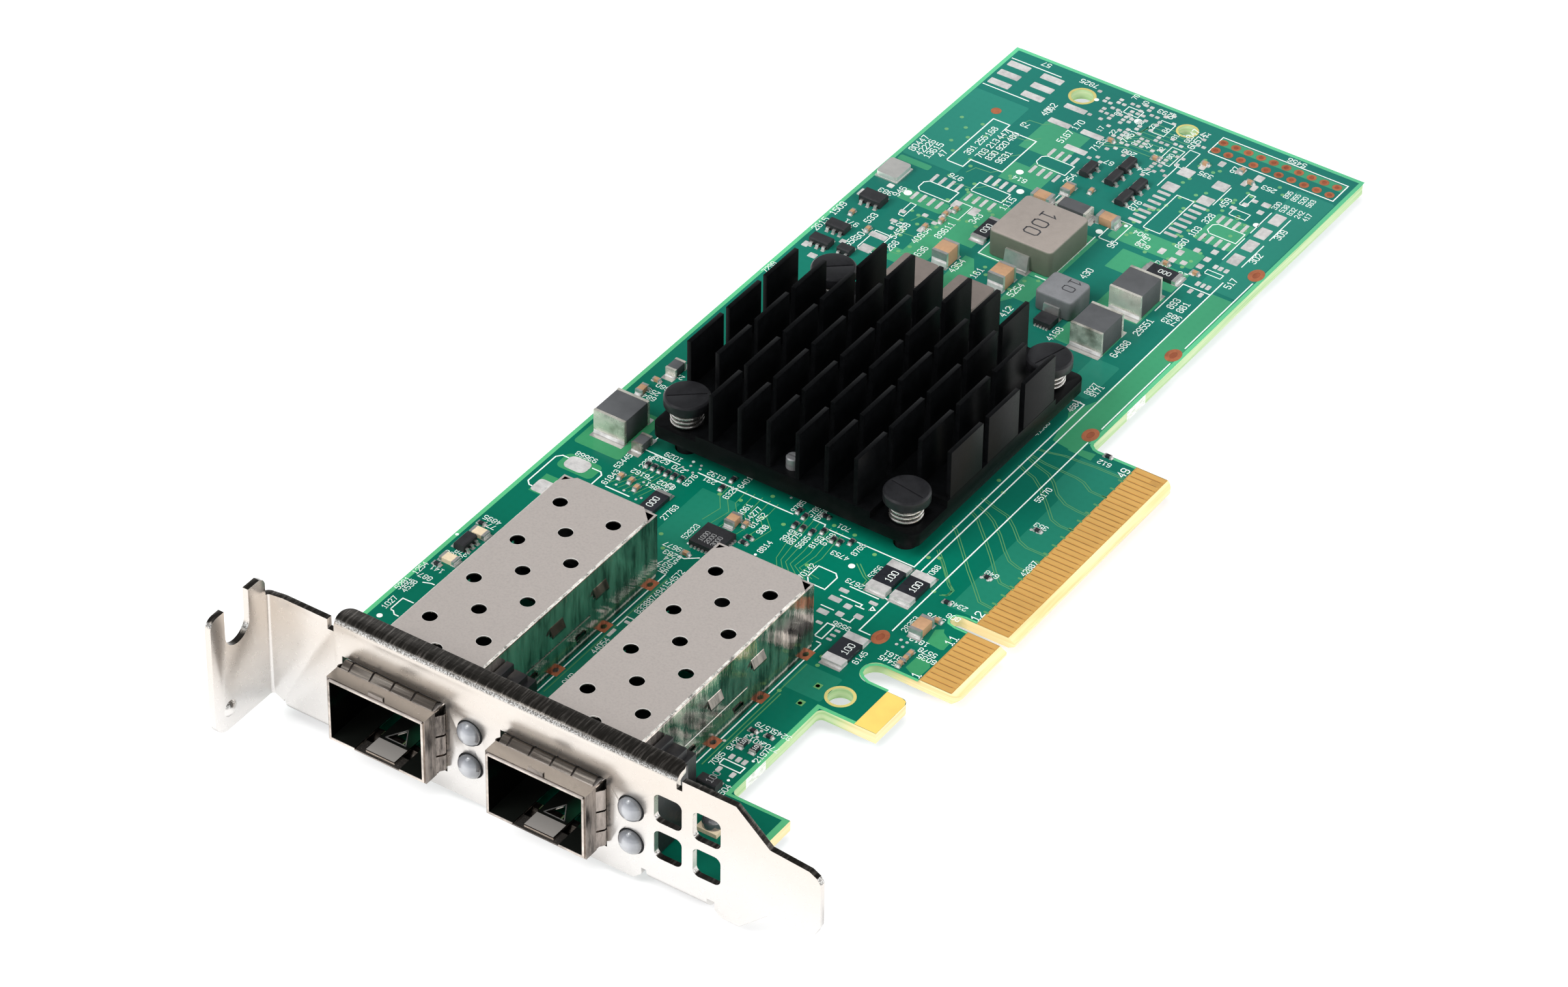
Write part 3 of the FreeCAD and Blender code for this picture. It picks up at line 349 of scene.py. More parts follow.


# cage sheet: bead-blasted look on top, mirror walls, and painted shade inside the bays
def cage_material(name, top, wall, top_rough, wall_rough, bays=True, dark=(0.022, 0.021, 0.020)):
    m, nt, b = new_mat(name)
    up = maprange(nt, normal_axis(nt, "Z", False), 0.0, 1.0, 0.75, 0.97)
    v = coords(nt)
    grain = noise(nt, v, 3200.0, 3.0, 0.7)
    slow = noise(nt, v, 140.0, 3.0)
    smear = noise(nt, coords(nt, (90, 640, 110)), 1.0, 5.0, 0.7)
    ct = ramp(nt, grain, [(0.3, mul(top, 0.90)), (0.5, top), (0.7, mul(top, 1.06))])
    # wall colour in streaks: partly the sheet's waviness, partly painted reflection streaks
    cw = ramp(nt, smear, [(0.38, mul(wall, 0.26)), (0.48, mul(wall, 0.74)), (0.57, mul(wall, 1.05)), (0.68, mul(wall, 1.35))])
    if bays:
        # the louvre lips stand out of the walls; their darker colour is a painted reflection of the dark side of the
        # bay
        x = axis(nt, "X")
        louvre_painted_dark = None
        for xc in (0.01895, 0.04245):
            k = math_(nt, "COMPARE", math_(nt, "ABSOLUTE", math_(nt, "SUBTRACT", x, OX + xc)), 0.00740)
            k.node.inputs[2].default_value = 0.00026
            louvre_painted_dark = k if louvre_painted_dark is None else math_(nt, "ADD", louvre_painted_dark, k, True)
        cw = blend(nt, math_(nt, "MULTIPLY", louvre_painted_dark, 0.72), cw, (0.06, 0.065, 0.055))
    out = blend(nt, up, cw, ct)
    if not bays:
        # sprung fingers behind the smooth band: painted dark reflection on their upward faces, with painted highlight
        # lines across
        finger_painted_mask = math_(nt, "MULTIPLY", math_(nt, "GREATER_THAN", axis(nt, "Y"), OY - 0.0604),
                     maprange(nt, normal_axis(nt, "Z", False), 0.0, 1.0, 0.2, 0.5))
        finger_glint_noise = noise(nt, coords(nt, (60, 2200, 200)), 1.0, 2.0, 0.5)
        out = blend(nt, finger_painted_mask, out, ramp(nt, finger_glint_noise, [(0.38, (0.040, 0.035, 0.030)), (0.54, (0.075, 0.064, 0.055)), (0.68, (0.24, 0.215, 0.19))]))
    if bays:
        # painted shade inside a bay: between the walls, below the top sheet, behind the rim of the mouth
        x = axis(nt, "X")
        bay_shade_mask = None
        for xc in (0.01895, 0.04245):
            k = math_(nt, "LESS_THAN", math_(nt, "ABSOLUTE", math_(nt, "SUBTRACT", x, OX + xc)), 0.00695)
            bay_shade_mask = k if bay_shade_mask is None else math_(nt, "ADD", bay_shade_mask, k, True)
        z = axis(nt, "Z")
        bay_shade_mask = math_(nt, "MULTIPLY", bay_shade_mask, math_(nt, "LESS_THAN", z, OZ + 0.01012))
        bay_shade_mask = math_(nt, "MULTIPLY", bay_shade_mask, math_(nt, "GREATER_THAN", z, OZ + 0.00112))
        bay_shade_mask = math_(nt, "MULTIPLY", bay_shade_mask, math_(nt, "GREATER_THAN", axis(nt, "Y"), OY - 0.06262))
        bay_shade_mask = math_(nt, "MULTIPLY", bay_shade_mask, math_(nt, "LESS_THAN", axis(nt, "Y"), OY - 0.0145))
        floor_up = math_(nt, "MULTIPLY", math_(nt, "LESS_THAN", z, OZ + 0.00150), maprange(nt, normal_axis(nt, "Z", False), 0.0, 1.0, 0.4, 0.8))
        # x from the middle of the nearer bay
        u = math_(nt, "SUBTRACT", x, OX + 0.0307)
        xb = math_(nt, "SUBTRACT", u, math_(nt, "MULTIPLY", math_(nt, "SIGN", u), 0.01175))
        y = axis(nt, "Y")
        green = math_(nt, "MULTIPLY", maprange(nt, xb, 0.0, 1.0, -0.0002, 0.0030), maprange(nt, y, 0.0, 1.0, OY - 0.0590, OY - 0.0566))
        tongue = math_(nt, "MULTIPLY", math_(nt, "LESS_THAN", math_(nt, "ABSOLUTE", xb), 0.00212), math_(nt, "LESS_THAN", y, OY - 0.0594))
        base = blend(nt, tongue, blend(nt, green, (0.005, 0.006, 0.005), (0.010, 0.095, 0.045)), (0.34, 0.32, 0.30))
        out = blend(nt, bay_shade_mask, out, blend(nt, floor_up, dark, base))
    nt.links.new(out, b.inputs["Base Color"])
    if bays:
        nt.links.new(maprange(nt, up, 0.95, 0.25), b.inputs["Metallic"])
    else:
        b.inputs["Metallic"].default_value = 0.95
    rt = maprange(nt, grain, top_rough[0], top_rough[1])
    rw = maprange(nt, smear, wall_rough[0], wall_rough[1], 0.35, 0.65)
    mr = nt.nodes.new("ShaderNodeMix")
    nt.links.new(up, mr.inputs["Factor"])
    nt.links.new(rw, mr.inputs["A"])
    nt.links.new(rt, mr.inputs["B"])
    nt.links.new(mr.outputs["Result"], b.inputs["Roughness"])
    wave = math_(nt, "ADD", math_(nt, "MULTIPLY", smear, math_(nt, "SUBTRACT", 1.0, up)), math_(nt, "MULTIPLY", slow, 0.3))
    nt.links.new(bump(nt, wave, 0.30 if bays else 0.12, 0.00022), b.inputs["Normal"])
    return m


M["cage"] = cage_material("cage_sheet", (0.410, 0.370, 0.345), (0.72, 0.64, 0.575), (0.40, 0.52), (0.05, 0.13))
# the gasket's walls take a darker colour than its top: painted shade
M["gasket"] = cage_material("gasket_sheet", (0.43, 0.392, 0.355), (0.30, 0.262, 0.235), (0.16, 0.28), (0.14, 0.24), False)


def clear_material():
    m, nt, b = new_mat("milky_clear")
    v = coords(nt)
    f = noise(nt, v, 700.0, 3.0)
    # painted shading on each dome: lighter at its middle, darker towards its rim
    dist = None
    for xg in (0.0302, 0.0537):
        for zg in (0.00315, 0.0083):
            dx = math_(nt, "SUBTRACT", axis(nt, "X"), OX + xg - 0.00018)
            dz = math_(nt, "SUBTRACT", axis(nt, "Z"), OZ + zg + 0.00010)
            r = math_(nt, "SQRT", math_(nt, "ADD", math_(nt, "MULTIPLY", dx, dx), math_(nt, "MULTIPLY", dz, dz)))
            dist = r if dist is None else math_(nt, "MINIMUM", dist, r)
    dome_shade_fac = maprange(nt, dist, 0.0, 1.0, 0.0, 0.0018)
    col = ramp(nt, dome_shade_fac, [(0.0, (0.46, 0.47, 0.49)), (0.34, (0.38, 0.39, 0.415)), (0.62, (0.25, 0.26, 0.285)), (0.86, (0.20, 0.21, 0.225)), (1.0, (0.09, 0.092, 0.10))])
    col = blend(nt, 0.35, col, ramp(nt, f, [(0.35, (0.7, 0.7, 0.7)), (0.65, (1.0, 1.0, 1.0))]), "MULTIPLY")
    nt.links.new(col, b.inputs["Base Color"])
    nt.links.new(maprange(nt, f, 0.06, 0.10), b.inputs["Roughness"])
    b.inputs["Transmission Weight"].default_value = 0.10
    b.inputs["Coat Weight"].default_value = 1.0
    b.inputs["Coat IOR"].default_value = 2.1
    b.inputs["Coat Roughness"].default_value = 0.03
    b.inputs["IOR"].default_value = 1.46
    b.inputs["Subsurface Weight"].default_value = 0.0
    nt.links.new(bump(nt, f, 0.05, 0.00004), b.inputs["Normal"])
    return m


M["clear_plastic"] = clear_material()

slot_of = {s["node"]: s["material_slot"] for s in frame["record"]["subparts"]}
M["end_solder"] = surface("mottled_solder", (0.66, 0.64, 0.57), 0.55, (0.14, 0.34), 0.35, 620, 0.6, 0.00010, dark=(0.20, 0.195, 0.16), detail=4.0)
own = {"brown_inductors": "inductor_painted_shade", "ferrite_ends": "end_solder", "sense_ends": "solder"}
for name, ob in nodes.items():
    mat = M[own.get(name, slot_of[name])]
    ob.data.materials.clear()
    ob.data.materials.append(mat)


# ------------------------------------------------------------------ softened edges
def soften(name, width_mm, segments=2, angle=35.0):
    """A copy of the solid with its hard edges rounded by a hair, as the real piece has them."""
    src = nodes[name]
    bm = bmesh.new()
    bm.from_mesh(src.data)
    bmesh.ops.remove_doubles(bm, verts=bm.verts, dist=1e-7)
    bmesh.ops.dissolve_limit(bm, angle_limit=math.radians(0.6), verts=bm.verts, edges=bm.edges)
    me = bpy.data.meshes.new(name + "_soft")
    bm.to_mesh(me)
    bm.free()
    ob = bpy.data.objects.new(name + "_soft", me)
    bpy.context.scene.collection.objects.link(ob)
    ob.matrix_world = src.matrix_world.copy()
    mod = ob.modifiers.new("bevel", "BEVEL")
    mod.width = width_mm / 1000
    mod.segments = segments
    mod.limit_method = "ANGLE"
    mod.angle_limit = math.radians(angle)
    mod.use_clamp_overlap = True
    mod.harden_normals = False
    dg = bpy.context.evaluated_depsgraph_get()
    nm = bpy.data.meshes.new_from_object(ob.evaluated_get(dg))
    ob.modifiers.clear()
    ob.data = nm
    for p in nm.polygons:
        p.use_smooth = True
    nm.set_sharp_from_angle(angle=math.radians(28))
    nm.materials.clear()
    nm.materials.append(src.data.materials[0])
    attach(ob, "root")
    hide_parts(name)
    return ob


for nm_, w_ in (("bracket", 0.24), ("heatsink", 0.09), ("power_inductor", 0.22), ("grey_inductor", 0.2), ("brown_inductors", 0.15),
                ("ferrite_blocks", 0.12), ("guide_holder_1", 0.07), ("guide_holder_2", 0.07), ("push_pins", 0.12), ("ceramic_capacitors", 0.06),
                ("resonator_can", 0.12)):
    soften(nm_, w_)

# ------------------------------------------------------------------ mesh helpers
class Sheet:
    """Thin raised shapes on the board, gathered in one mesh."""

    def __init__(self, name, z0, z1, mat, slot, flip=False):
        self.name, self.z0, self.z1, self.mat, self.slot = name, z0, z1, mat, slot
        self.bm = bmesh.new()

    def poly(self, pts, z0=None, z1=None, inset=0.0):
        z0 = self.z0 if z0 is None else z0
        z1 = self.z1 if z1 is None else z1
        a = sum(p[0] * q[1] - q[0] * p[1] for p, q in zip(pts, pts[1:] + pts[:1]))
        if a < 0:
            pts = pts[::-1]
        lo = [self.bm.verts.new(W(x, y, z0)) for x, y in pts]
        hi = [self.bm.verts.new(W(x, y, z1)) for x, y in pts]
        if z1 > z0:
            self.bm.faces.new(hi)
        else:
            self.bm.faces.new(hi[::-1])
        n = len(pts)
        for i in range(n):
            j = (i + 1) % n
            q = [lo[i], lo[j], hi[j], hi[i]]
            self.bm.faces.new(q if z1 > z0 else q[::-1])

    def rect(self, x0, x1, y0, y1, r=0.0):
        if r <= 0:
            self.poly([(x0, y0), (x1, y0), (x1, y1), (x0, y1)])
            return
        pts = []
        for cx, cy, a0 in ((x1 - r, y1 - r, 0), (x0 + r, y1 - r, 90), (x0 + r, y0 + r, 180), (x1 - r, y0 + r, 270)):
            for k in range(5):
                a = math.radians(a0 + 22.5 * k)
                pts.append((cx + r * math.cos(a), cy + r * math.sin(a)))
        self.poly(pts)

    def disc(self, x, y, r, n=20):
        self.poly([(x + r * math.cos(2 * math.pi * k / n), y + r * math.sin(2 * math.pi * k / n)) for k in range(n)])

    def ring(self, x, y, r0, r1, sx=1.0, sy=1.0, n=32, hole_sx=None, hole_sy=None):
        hx = sx if hole_sx is None else hole_sx
        hy = sy if hole_sy is None else hole_sy
        inn = []
        out = []
        for k in range(n):
            c, s = math.cos(2 * math.pi * k / n), math.sin(2 * math.pi * k / n)
            inn.append((x + r0 * c * hx, y + r0 * s * hy))
            out.append((x + r1 * c * sx, y + r1 * s * sy))
        self.band(inn, out)

    def band(self, inn, out):
        n = len(inn)
        vi = [self.bm.verts.new(W(a, b, self.z1)) for a, b in inn]
        vo = [self.bm.verts.new(W(a, b, self.z1)) for a, b in out]
        wi = [self.bm.verts.new(W(a, b, self.z0)) for a, b in inn]
        wo = [self.bm.verts.new(W(a, b, self.z0)) for a, b in out]
        up = self.z1 > self.z0
        for i in range(n):
            j = (i + 1) % n
            for q in ([vo[i], vo[j], vi[j], vi[i]], [wo[i], wo[j], vo[j], vo[i]], [vi[i], vi[j], wi[j], wi[i]]):
                self.bm.faces.new(q if up else q[::-1])

    def line(self, pts, w, cap=True):
        # ribbon with mitred corners
        n = len(pts)
        left, right = [], []
        for i in range(n):
            a = pts[max(i - 1, 0)]
            b = pts[i]
            c = pts[min(i + 1, n - 1)]
            d0 = Vector((b[0] - a[0], b[1] - a[1]))
            d1 = Vector((c[0] - b[0], c[1] - b[1]))
            if d0.length < 1e-9:
                d0 = d1.copy()
            if d1.length < 1e-9:
                d1 = d0.copy()
            d0.normalize()
            d1.normalize()
            t = d0 + d1
            if t.length < 1e-6:
                t = d0.copy()
            t.normalize()
            nrm = Vector((-t.y, t.x))
            k = w / 2 / max(0.5, nrm.dot(Vector((-d0.y, d0.x))))
            p = Vector((b[0], b[1]))
            if cap and i == 0:
                p -= d1 * w / 2
            if cap and i == n - 1:
                p += d0 * w / 2
            left.append(p + nrm * k)
            right.append(p - nrm * k)
        for i in range(n - 1):
            self.poly([tuple(left[i]), tuple(left[i + 1]), tuple(right[i + 1]), tuple(right[i])])

    def done(self, bevel=0.0):
        me = bpy.data.meshes.new(self.name)
        self.bm.normal_update()
        self.bm.to_mesh(me)
        self.bm.free()
        ob = bpy.data.objects.new(self.name, me)
        bpy.context.scene.collection.objects.link(ob)
        me.materials.append(self.mat)
        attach(ob, "root")
        return ob


def free_mesh(name, bm, mat, smooth=False):
    me = bpy.data.meshes.new(name)
    bm.normal_update()
    bm.to_mesh(me)
    bm.free()
    if smooth:
        for p in me.polygons:
            p.use_smooth = True
    ob = bpy.data.objects.new(name, me)
    bpy.context.scene.collection.objects.link(ob)
    me.materials.append(mat)
    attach(ob, "root")
    return ob


# plain numerals as strokes in a 0.6 x 1 cell
DIG = {
    "0": [[(0.12, 0), (0, 0.15), (0, 0.85), (0.12, 1), (0.48, 1), (0.6, 0.85), (0.6, 0.15), (0.48, 0), (0.12, 0)]],
    "1": [[(0.12, 0.8), (0.32, 1), (0.32, 0)], [(0.1, 0), (0.54, 0)]],
    "2": [[(0, 0.82), (0.12, 1), (0.48, 1), (0.6, 0.85), (0.6, 0.62), (0, 0.08), (0, 0), (0.6, 0)]],
    "3": [[(0, 0.85), (0.12, 1), (0.48, 1), (0.6, 0.86), (0.6, 0.64), (0.46, 0.52), (0.22, 0.52)],
          [(0.46, 0.52), (0.6, 0.38), (0.6, 0.14), (0.48, 0), (0.12, 0), (0, 0.15)]],
    "4": [[(0.46, 0), (0.46, 1), (0, 0.32), (0.6, 0.32)]],
    "5": [[(0.58, 1), (0.04, 1), (0, 0.55), (0.42, 0.6), (0.6, 0.44), (0.6, 0.14), (0.46, 0), (0.12, 0), (0, 0.14)]],
    "6": [[(0.55, 0.9), (0.44, 1), (0.14, 1), (0, 0.84), (0, 0.15), (0.14, 0), (0.46, 0), (0.6, 0.15), (0.6, 0.42),
           (0.46, 0.56), (0.02, 0.52)]],
    "7": [[(0, 1), (0.6, 1), (0.22, 0)]],
    "8": [[(0.14, 0.54), (0.02, 0.68), (0.02, 0.86), (0.14, 1), (0.46, 1), (0.58, 0.86), (0.58, 0.68), (0.46, 0.54),
           (0.14, 0.54), (0, 0.38), (0, 0.14), (0.14, 0), (0.46, 0), (0.6, 0.14), (0.6, 0.38), (0.46, 0.54)]],
    "9": [[(0.05, 0.1), (0.16, 0), (0.46, 0), (0.6, 0.16), (0.6, 0.85), (0.46, 1), (0.14, 1), (0, 0.85), (0, 0.6),
           (0.14, 0.45), (0.58, 0.5)]],
}


def numerals(sheet, text, x, y, h, ang=0.0, w=0.13, adv=0.86):
    """Text starts at x, y. ang 0 reads along +Y with its top toward -X; ang 90 reads along -X with its top toward -Y."""
    ca, sa = math.cos(math.radians(ang)), math.sin(math.radians(ang))
    for k, ch in enumerate(text):
        if ch not in DIG:
            continue
        for st in DIG[ch]:
            pts = []
            for u, v in st:
                a = (u + adv * k) * h
                b = v * h
                # along reading direction a, up direction b
                px = x - a * sa - b * ca
                py = y + a * ca - b * sa
                pts.append((px, py))
            sheet.line(pts, w * h)


# ------------------------------------------------------------------ board: copper, mask edges
T = 0.012
strip = Sheet("board_edge_strip", -0.001, T, M["edge_strip"], "pcb")
strip.rect(0.0, 0.62, -56.8, 110.5)
strip.rect(0.62, 56.6, 109.95, 110.55)
strip.poly([(56.05, 39.6), (56.65, 39.9), (56.65, 109.95), (56.05, 109.95)])
strip.poly([(64.3, -56.8), (65.2, -56.8), (65.2, -42.45), (56.65, -42.45), (56.65, -23.5), (61.7, -23.5),
            (61.7, -22.95), (56.0, -22.95), (56.0, -42.9), (64.3, -42.9)][::1])
strip.done()

pour = Sheet("copper_areas", -0.001, T * 0.8, M["pour"], "pcb")
arc = [(53.9 - 3.6 * math.cos(math.radians(a)) * 0.9, 36.9 + 5.2 * math.sin(math.radians(a))) for a in (0, 20, 40)]
pour.poly([(56.0, 37.0), (51.8, 37.6), (50.9, 42.8), (50.4, 43.7), (51.6, 46.4), (52.2, 47.8), (52.4, 57.6), (52.6, 76.5), (56.0, 76.5)])
pour.poly([(58.1, 36.8), (54.5, 37.0), (54.5, 37.9), (58.0, 38.3)], z1=T * 0.95)
pour.poly([(60.6, -5.6), (60.1, -2.9), (61.0, -2.2), (61.3, -2.8), (62.3, -3.4), (63.0, -3.4), (63.1, -5.6), (62.7, -5.8)])
pour.poly([(61.0, -11.0), (61.1, -8.4), (62.8, -8.3), (63.5, -9.3), (63.4, -11.6), (62.0, -11.5)])
pour.poly([(37.4, 73.6), (47.9, 73.6), (47.9, 78.4), (37.4, 78.4)])
pour.poly([(13.0, 90.4), (20.2, 90.4), (20.2, 97.6), (13.0, 97.6)])
pour.poly([(14.6, 82.6), (20.9, 82.6), (20.9, 88.4), (17.0, 88.4), (17.0, 87.0), (14.6, 87.0)])
pour.poly([(12.0, 61.0), (13.2, 61.0), (13.2, 77.4), (20.6, 77.4), (20.6, 66.6), (17.2, 66.6), (17.2, 61.0), (14.0, 58.0), (12.0, 58.0)])
pour.poly([(20.8, 52.6), (24.0, 52.6), (24.0, 62.0), (22.2, 64.8), (20.8, 64.8)])
pour.poly([(29.8, 58.2), (31.2, 60.5), (33.4, 60.5), (33.4, 65.8), (29.8, 65.8)])
pour.poly([(22.0, 66.0), (33.6, 66.0), (33.6, 78.2), (22.0, 78.2)])
pour.rect(40.0, 47.7, 56.0, 62.6, 0.4)
pour.rect(40.8, 47.9, 64.9, 72.2, 0.4)
pour.rect(1.2, 8.4, 2.0, 12.2, 0.5)
pour.poly([(2.4, -9.4), (5.4, -9.4), (5.4, -5.4), (2.4, -5.4)])
pour.rect(2.2, 7.7, -3.4, -0.2, 0.8)
pour.rect(34.0, 47.4, 79.6, 83.4, 0.4)
pour.rect(43.8, 49.6, 86.0, 92.8, 0.4)
pour.rect(5.8, 13.0, 70.6, 73.2, 0.4)
pour.rect(35.2, 55.2, 106.6, 108.2, 0.2)
pour.rect(0.9, 6.0, 78.2, 79.4, 0.3)
pour.done()

plane = Sheet("inner_plane_tint", -0.001, T * 0.55, M["pour_dark"], "pcb")
plane.poly([(59.0, 1.8), (63.6, 1.8), (63.6, 36.6), (56.8, 36.6), (56.8, 30.4), (59.0, 27.5)])
plane.poly([(20.4, -13.0), (26.2, -13.0), (26.2, 3.6), (20.4, 3.6)])
plane.rect(0.7, 9.5, 79.8, 98.8, 0.4)
plane.rect(49.9, 55.9, 77.2, 103.6, 0.4)
plane.rect(50.4, 56.0, -22.5, -17.4, 0.3)
plane.poly([(35.5, -41.0), (26.9, -41.0), (26.9, -13.4), (35.1, -13.4)])
plane.rect(46.9, 51.0, 47.4, 55.6, 0.4)
plane.done()

trace = Sheet("signal_traces", -0.001, T * 1.1, M["trace"], "pcb")
tw = 0.12
PAIRS = (((51.8, 10.2), (53.6, 8.5), (56.7, 5.2), (57.7, 4.5), (57.7, 3.4), (56.9, 3.0)),
         ((50.8, 15.4), (51.9, 14.4), (55.2, 11.0), (57.1, 9.0), (59.4, 6.8), (61.6, 4.6), (63.8, 4.4)),
         ((51.2, 19.0), (52.4, 18.4), (53.6, 17.2), (56.0, 14.9), (58.0, 12.9), (60.1, 10.6), (61.7, 9.2), (63.9, 9.0)),
         ((51.0, 20.6), (53.0, 19.9), (54.4, 19.1), (56.6, 17.2), (58.8, 14.9), (60.4, 13.5), (62.0, 13.0), (63.9, 13.0)),
         ((50.8, 22.2), (53.0, 21.5), (55.3, 21.0), (57.2, 19.5), (59.2, 17.6), (60.7, 17.0), (63.9, 17.0)),
         ((51.0, 30.6), (52.3, 30.0), (53.9, 29.5), (55.8, 28.1), (58.1, 25.9), (60.3, 23.6), (61.7, 23.1), (63.9, 23.1)),
         ((51.0, 32.6), (52.7, 31.9), (55.1, 31.2), (56.5, 30.1), (58.2, 28.3), (60.1, 27.2), (62.3, 26.9), (63.9, 26.9)),
         ((51.2, 33.2), (53.5, 32.8), (56.2, 32.7), (58.5, 32.6), (59.7, 32.3), (61.3, 31.3), (63.9, 31.2)),
         ((51.4, 34.8), (53.1, 35.1), (54.8, 35.6), (57.1, 35.7), (59.3, 35.9), (63.9, 35.9)))
for p in PAIRS:
    trace.line(list(p), tw)
    trace.line([(a + 0.2, b + 0.28) for a, b in p], tw)
for k in range(18):
    y = 3.5 + 2.0 * k
    trace.rect(63.1, 63.9, y - 0.16, y + 0.16, 0.12)
trace.line([(53.3, 8.9), (56.0, 6.2), (57.7, 4.7), (57.6, 3.3)], 0.12)
trace.line([(45.0, 2.2), (47.0, 0.6), (47.8, 0.2), (47.9, -0.8)], 0.14)
trace.line([(45.4, 2.4), (47.3, 0.8), (48.1, 0.5)], 0.14)
for k in range(7):
    trace.line([(38.5 + 0.7 * k, -6.0 + 0.5 * k), (36.0 + 0.7 * k, -2.6), (35.4 + 0.9 * k, 0.5), (34.8 + 0.9 * k, 6.2)], 0.1)
    trace.line([(24.0 + 1.3 * k, -1.6), (24.6 + 1.3 * k, 1.5), (23.2 + 1.2 * k, 3.4), (23.0 + 1.2 * k, 6.3)], 0.1)
    trace.line([(9.9 + 0.8 * k, -2.5), (11.5 + 0.7 * k, 0.8), (11.9 + 0.7 * k, 2.6)], 0.1)
for k in range(9):
    yy = 58.0 + 4.6 * k
    trace.line([(9.5 + 0.5 * (k % 3), yy), (11.0, yy + 1.6), (13.2, yy + 1.8), (14.6, yy + 3.4)], 0.14)
    trace.line([(22.0 + 0.4 * k, 97.0 + 0.7 * k), (25.5, 98.6 + 0.9 * k), (32.5, 98.7 + 0.9 * k)], 0.14)
for y0, y1, x in ((-40.0, -17.5, 50.7), (-39.0, -24.0, 51.2), (-40.0, -14.0, 27.2), (-40, -15, 34.2)):
    trace.line([(x, y0), (x, y1)], 0.16)
trace.done()

# ------------------------------------------------------------------ bare laminate and plated rims
lam = Sheet("bare_laminate_areas", -0.001, T * 1.3, M["laminate"], "pcb")
lam.poly([(61.7, -23.45), (64.88, -23.45), (64.88, -17.1), (64.6, -16.4), (63.9, -16.15), (61.7, -16.15)])
lam.done()
lr = Sheet("bare_rims", -0.001, T * 1.3, M["rim"], "pcb")
lr.ring(57.5, -20.2, 1.6, 2.0)
lr.ring(13.9, 105.6, 1.6, 2.0)
lr.ring(30.3, 106.9, 1.3, 1.62)
lr.done()
fr = Sheet("contact_tab_border", -0.001, T * 0.9, M["gap"], "gold")
fr.rect(63.7, 68.42, -12.0, -0.98)
fr.rect(63.7, 68.42, 0.98, 39.05)
fr.done()
eg = Sheet("contact_tab_edge", -0.001, T * 1.15, M["edge_strip"], "pcb")
eg.line([(63.7, -12.24), (58.75, -12.24), (57.75, -12.62), (57.05, -13.25), (56.85, -14.1), (57.05, -14.95), (57.75, -15.58), (58.75, -15.96),
         (61.7, -15.96)], 0.42, False)
eg.line([(63.7, 38.84), (58.0, 38.84), (57.3, 39.0), (56.6, 39.55), (56.34, 40.3)], 0.42, False)
eg.line([(63.7, 1.2), (61.9, 1.2), (60.75, 0.9), (60.3, 0.0), (60.75, -0.9), (61.9, -1.2), (63.7, -1.2)], 0.3, False)
eg.done()

gl = Sheet("contact_gap_lines", -0.001, T * 1.5, M["gap_line"], "gold")
for k in range(51):
    y = -11.5 + k - 0.5
    if y < -11.2 or -1.2 < y < 1.2 or y > 38.4:
        continue
    gl.rect(64.1, 67.9, y - 0.055, y + 0.055)
gl.done()

cu = Sheet("plated_rims", -0.001, 0.035, M["copper"], "gold")
for x, y in ((55.3, -8.0), (55.3, 41.3), (55.3, 62.0), (55.3, 83.5)):
    cu.ring(x, y, 0.75, 1.45, 0.74, 1.0, 36, 0.62, 1.0)
for xc in (18.95, 42.45):
    for s in (-1, 1):
        for y in (-56.0, -46.0, -36.0, -25.9, -16.0):
            cx = xc + s * 6.95
            n = 24
            inn = [(cx + 0.53 * math.cos(2 * math.pi * k / n), y + 0.53 * math.sin(2 * math.pi * k / n)) for k in range(n)]
            out = []
            for k in range(n):
                c, q = math.cos(2 * math.pi * k / n), math.sin(2 * math.pi * k / n)
                mm = max(abs(c) / 0.95, abs(q) / 1.0)
                out.append((cx + c / mm, y + q / mm))
            cu.band(inn, out)
for i in range(10):
    for y in (105.2, 107.3):
        cu.ring(35.9 + 2.02 * i, y, 0.36, 0.70, n=16)
cu.disc(6.0, 95.6, 0.75)
cu.done()
M["copper_dark"] = surface("copper_in_hole", (0.36, 0.105, 0.050), 0.4, (0.4, 0.6), 0.3, 1600, 0.3)
bar = Sheet("hole_barrels", -0.90, 0.020, M["copper_dark"], "gold")
for i in range(10):
    for y in (105.2, 107.3):
        bar.disc(35.9 + 2.02 * i, y, 0.352, 16)
for x, y in ((55.3, -8.0), (55.3, 41.3), (55.3, 62.0), (55.3, 83.5)):
    bar.poly([(x + 0.46 * math.cos(math.pi * k / 12), y + 0.74 * math.sin(math.pi * k / 12)) for k in range(24)])
bar.done()

# ------------------------------------------------------------------ solder under every metal end of a small part
pads = Sheet("component_pads", -0.001, 0.04, M["tin"], "tin")
fil = bmesh.new()


def islands(name):
    me = nodes[name].data
    parent = list(range(len(me.vertices)))

    def find(a):
        while parent[a] != a:
            parent[a] = parent[parent[a]]
            a = parent[a]
        return a

    key = {}
    for v in me.vertices:
        k = (round(v.co.x, 7), round(v.co.y, 7), round(v.co.z, 7))
        if k in key:
            parent[find(v.index)] = find(key[k])
        else:
            key[k] = v.index
    for e in me.edges:
        parent[find(e.vertices[0])] = find(e.vertices[1])
    g = {}
    for v in me.vertices:
        g.setdefault(find(v.index), []).append(v.co)
    out = []
    for cs in g.values():
        xs = [(c.x - OX) * 1000 for c in cs]
        ys = [(c.y - OY) * 1000 for c in cs]
        zs = [(c.z - OZ) * 1000 for c in cs]
        out.append((min(xs), max(xs), min(ys), max(ys), min(zs), max(zs)))
    return sorted(out)


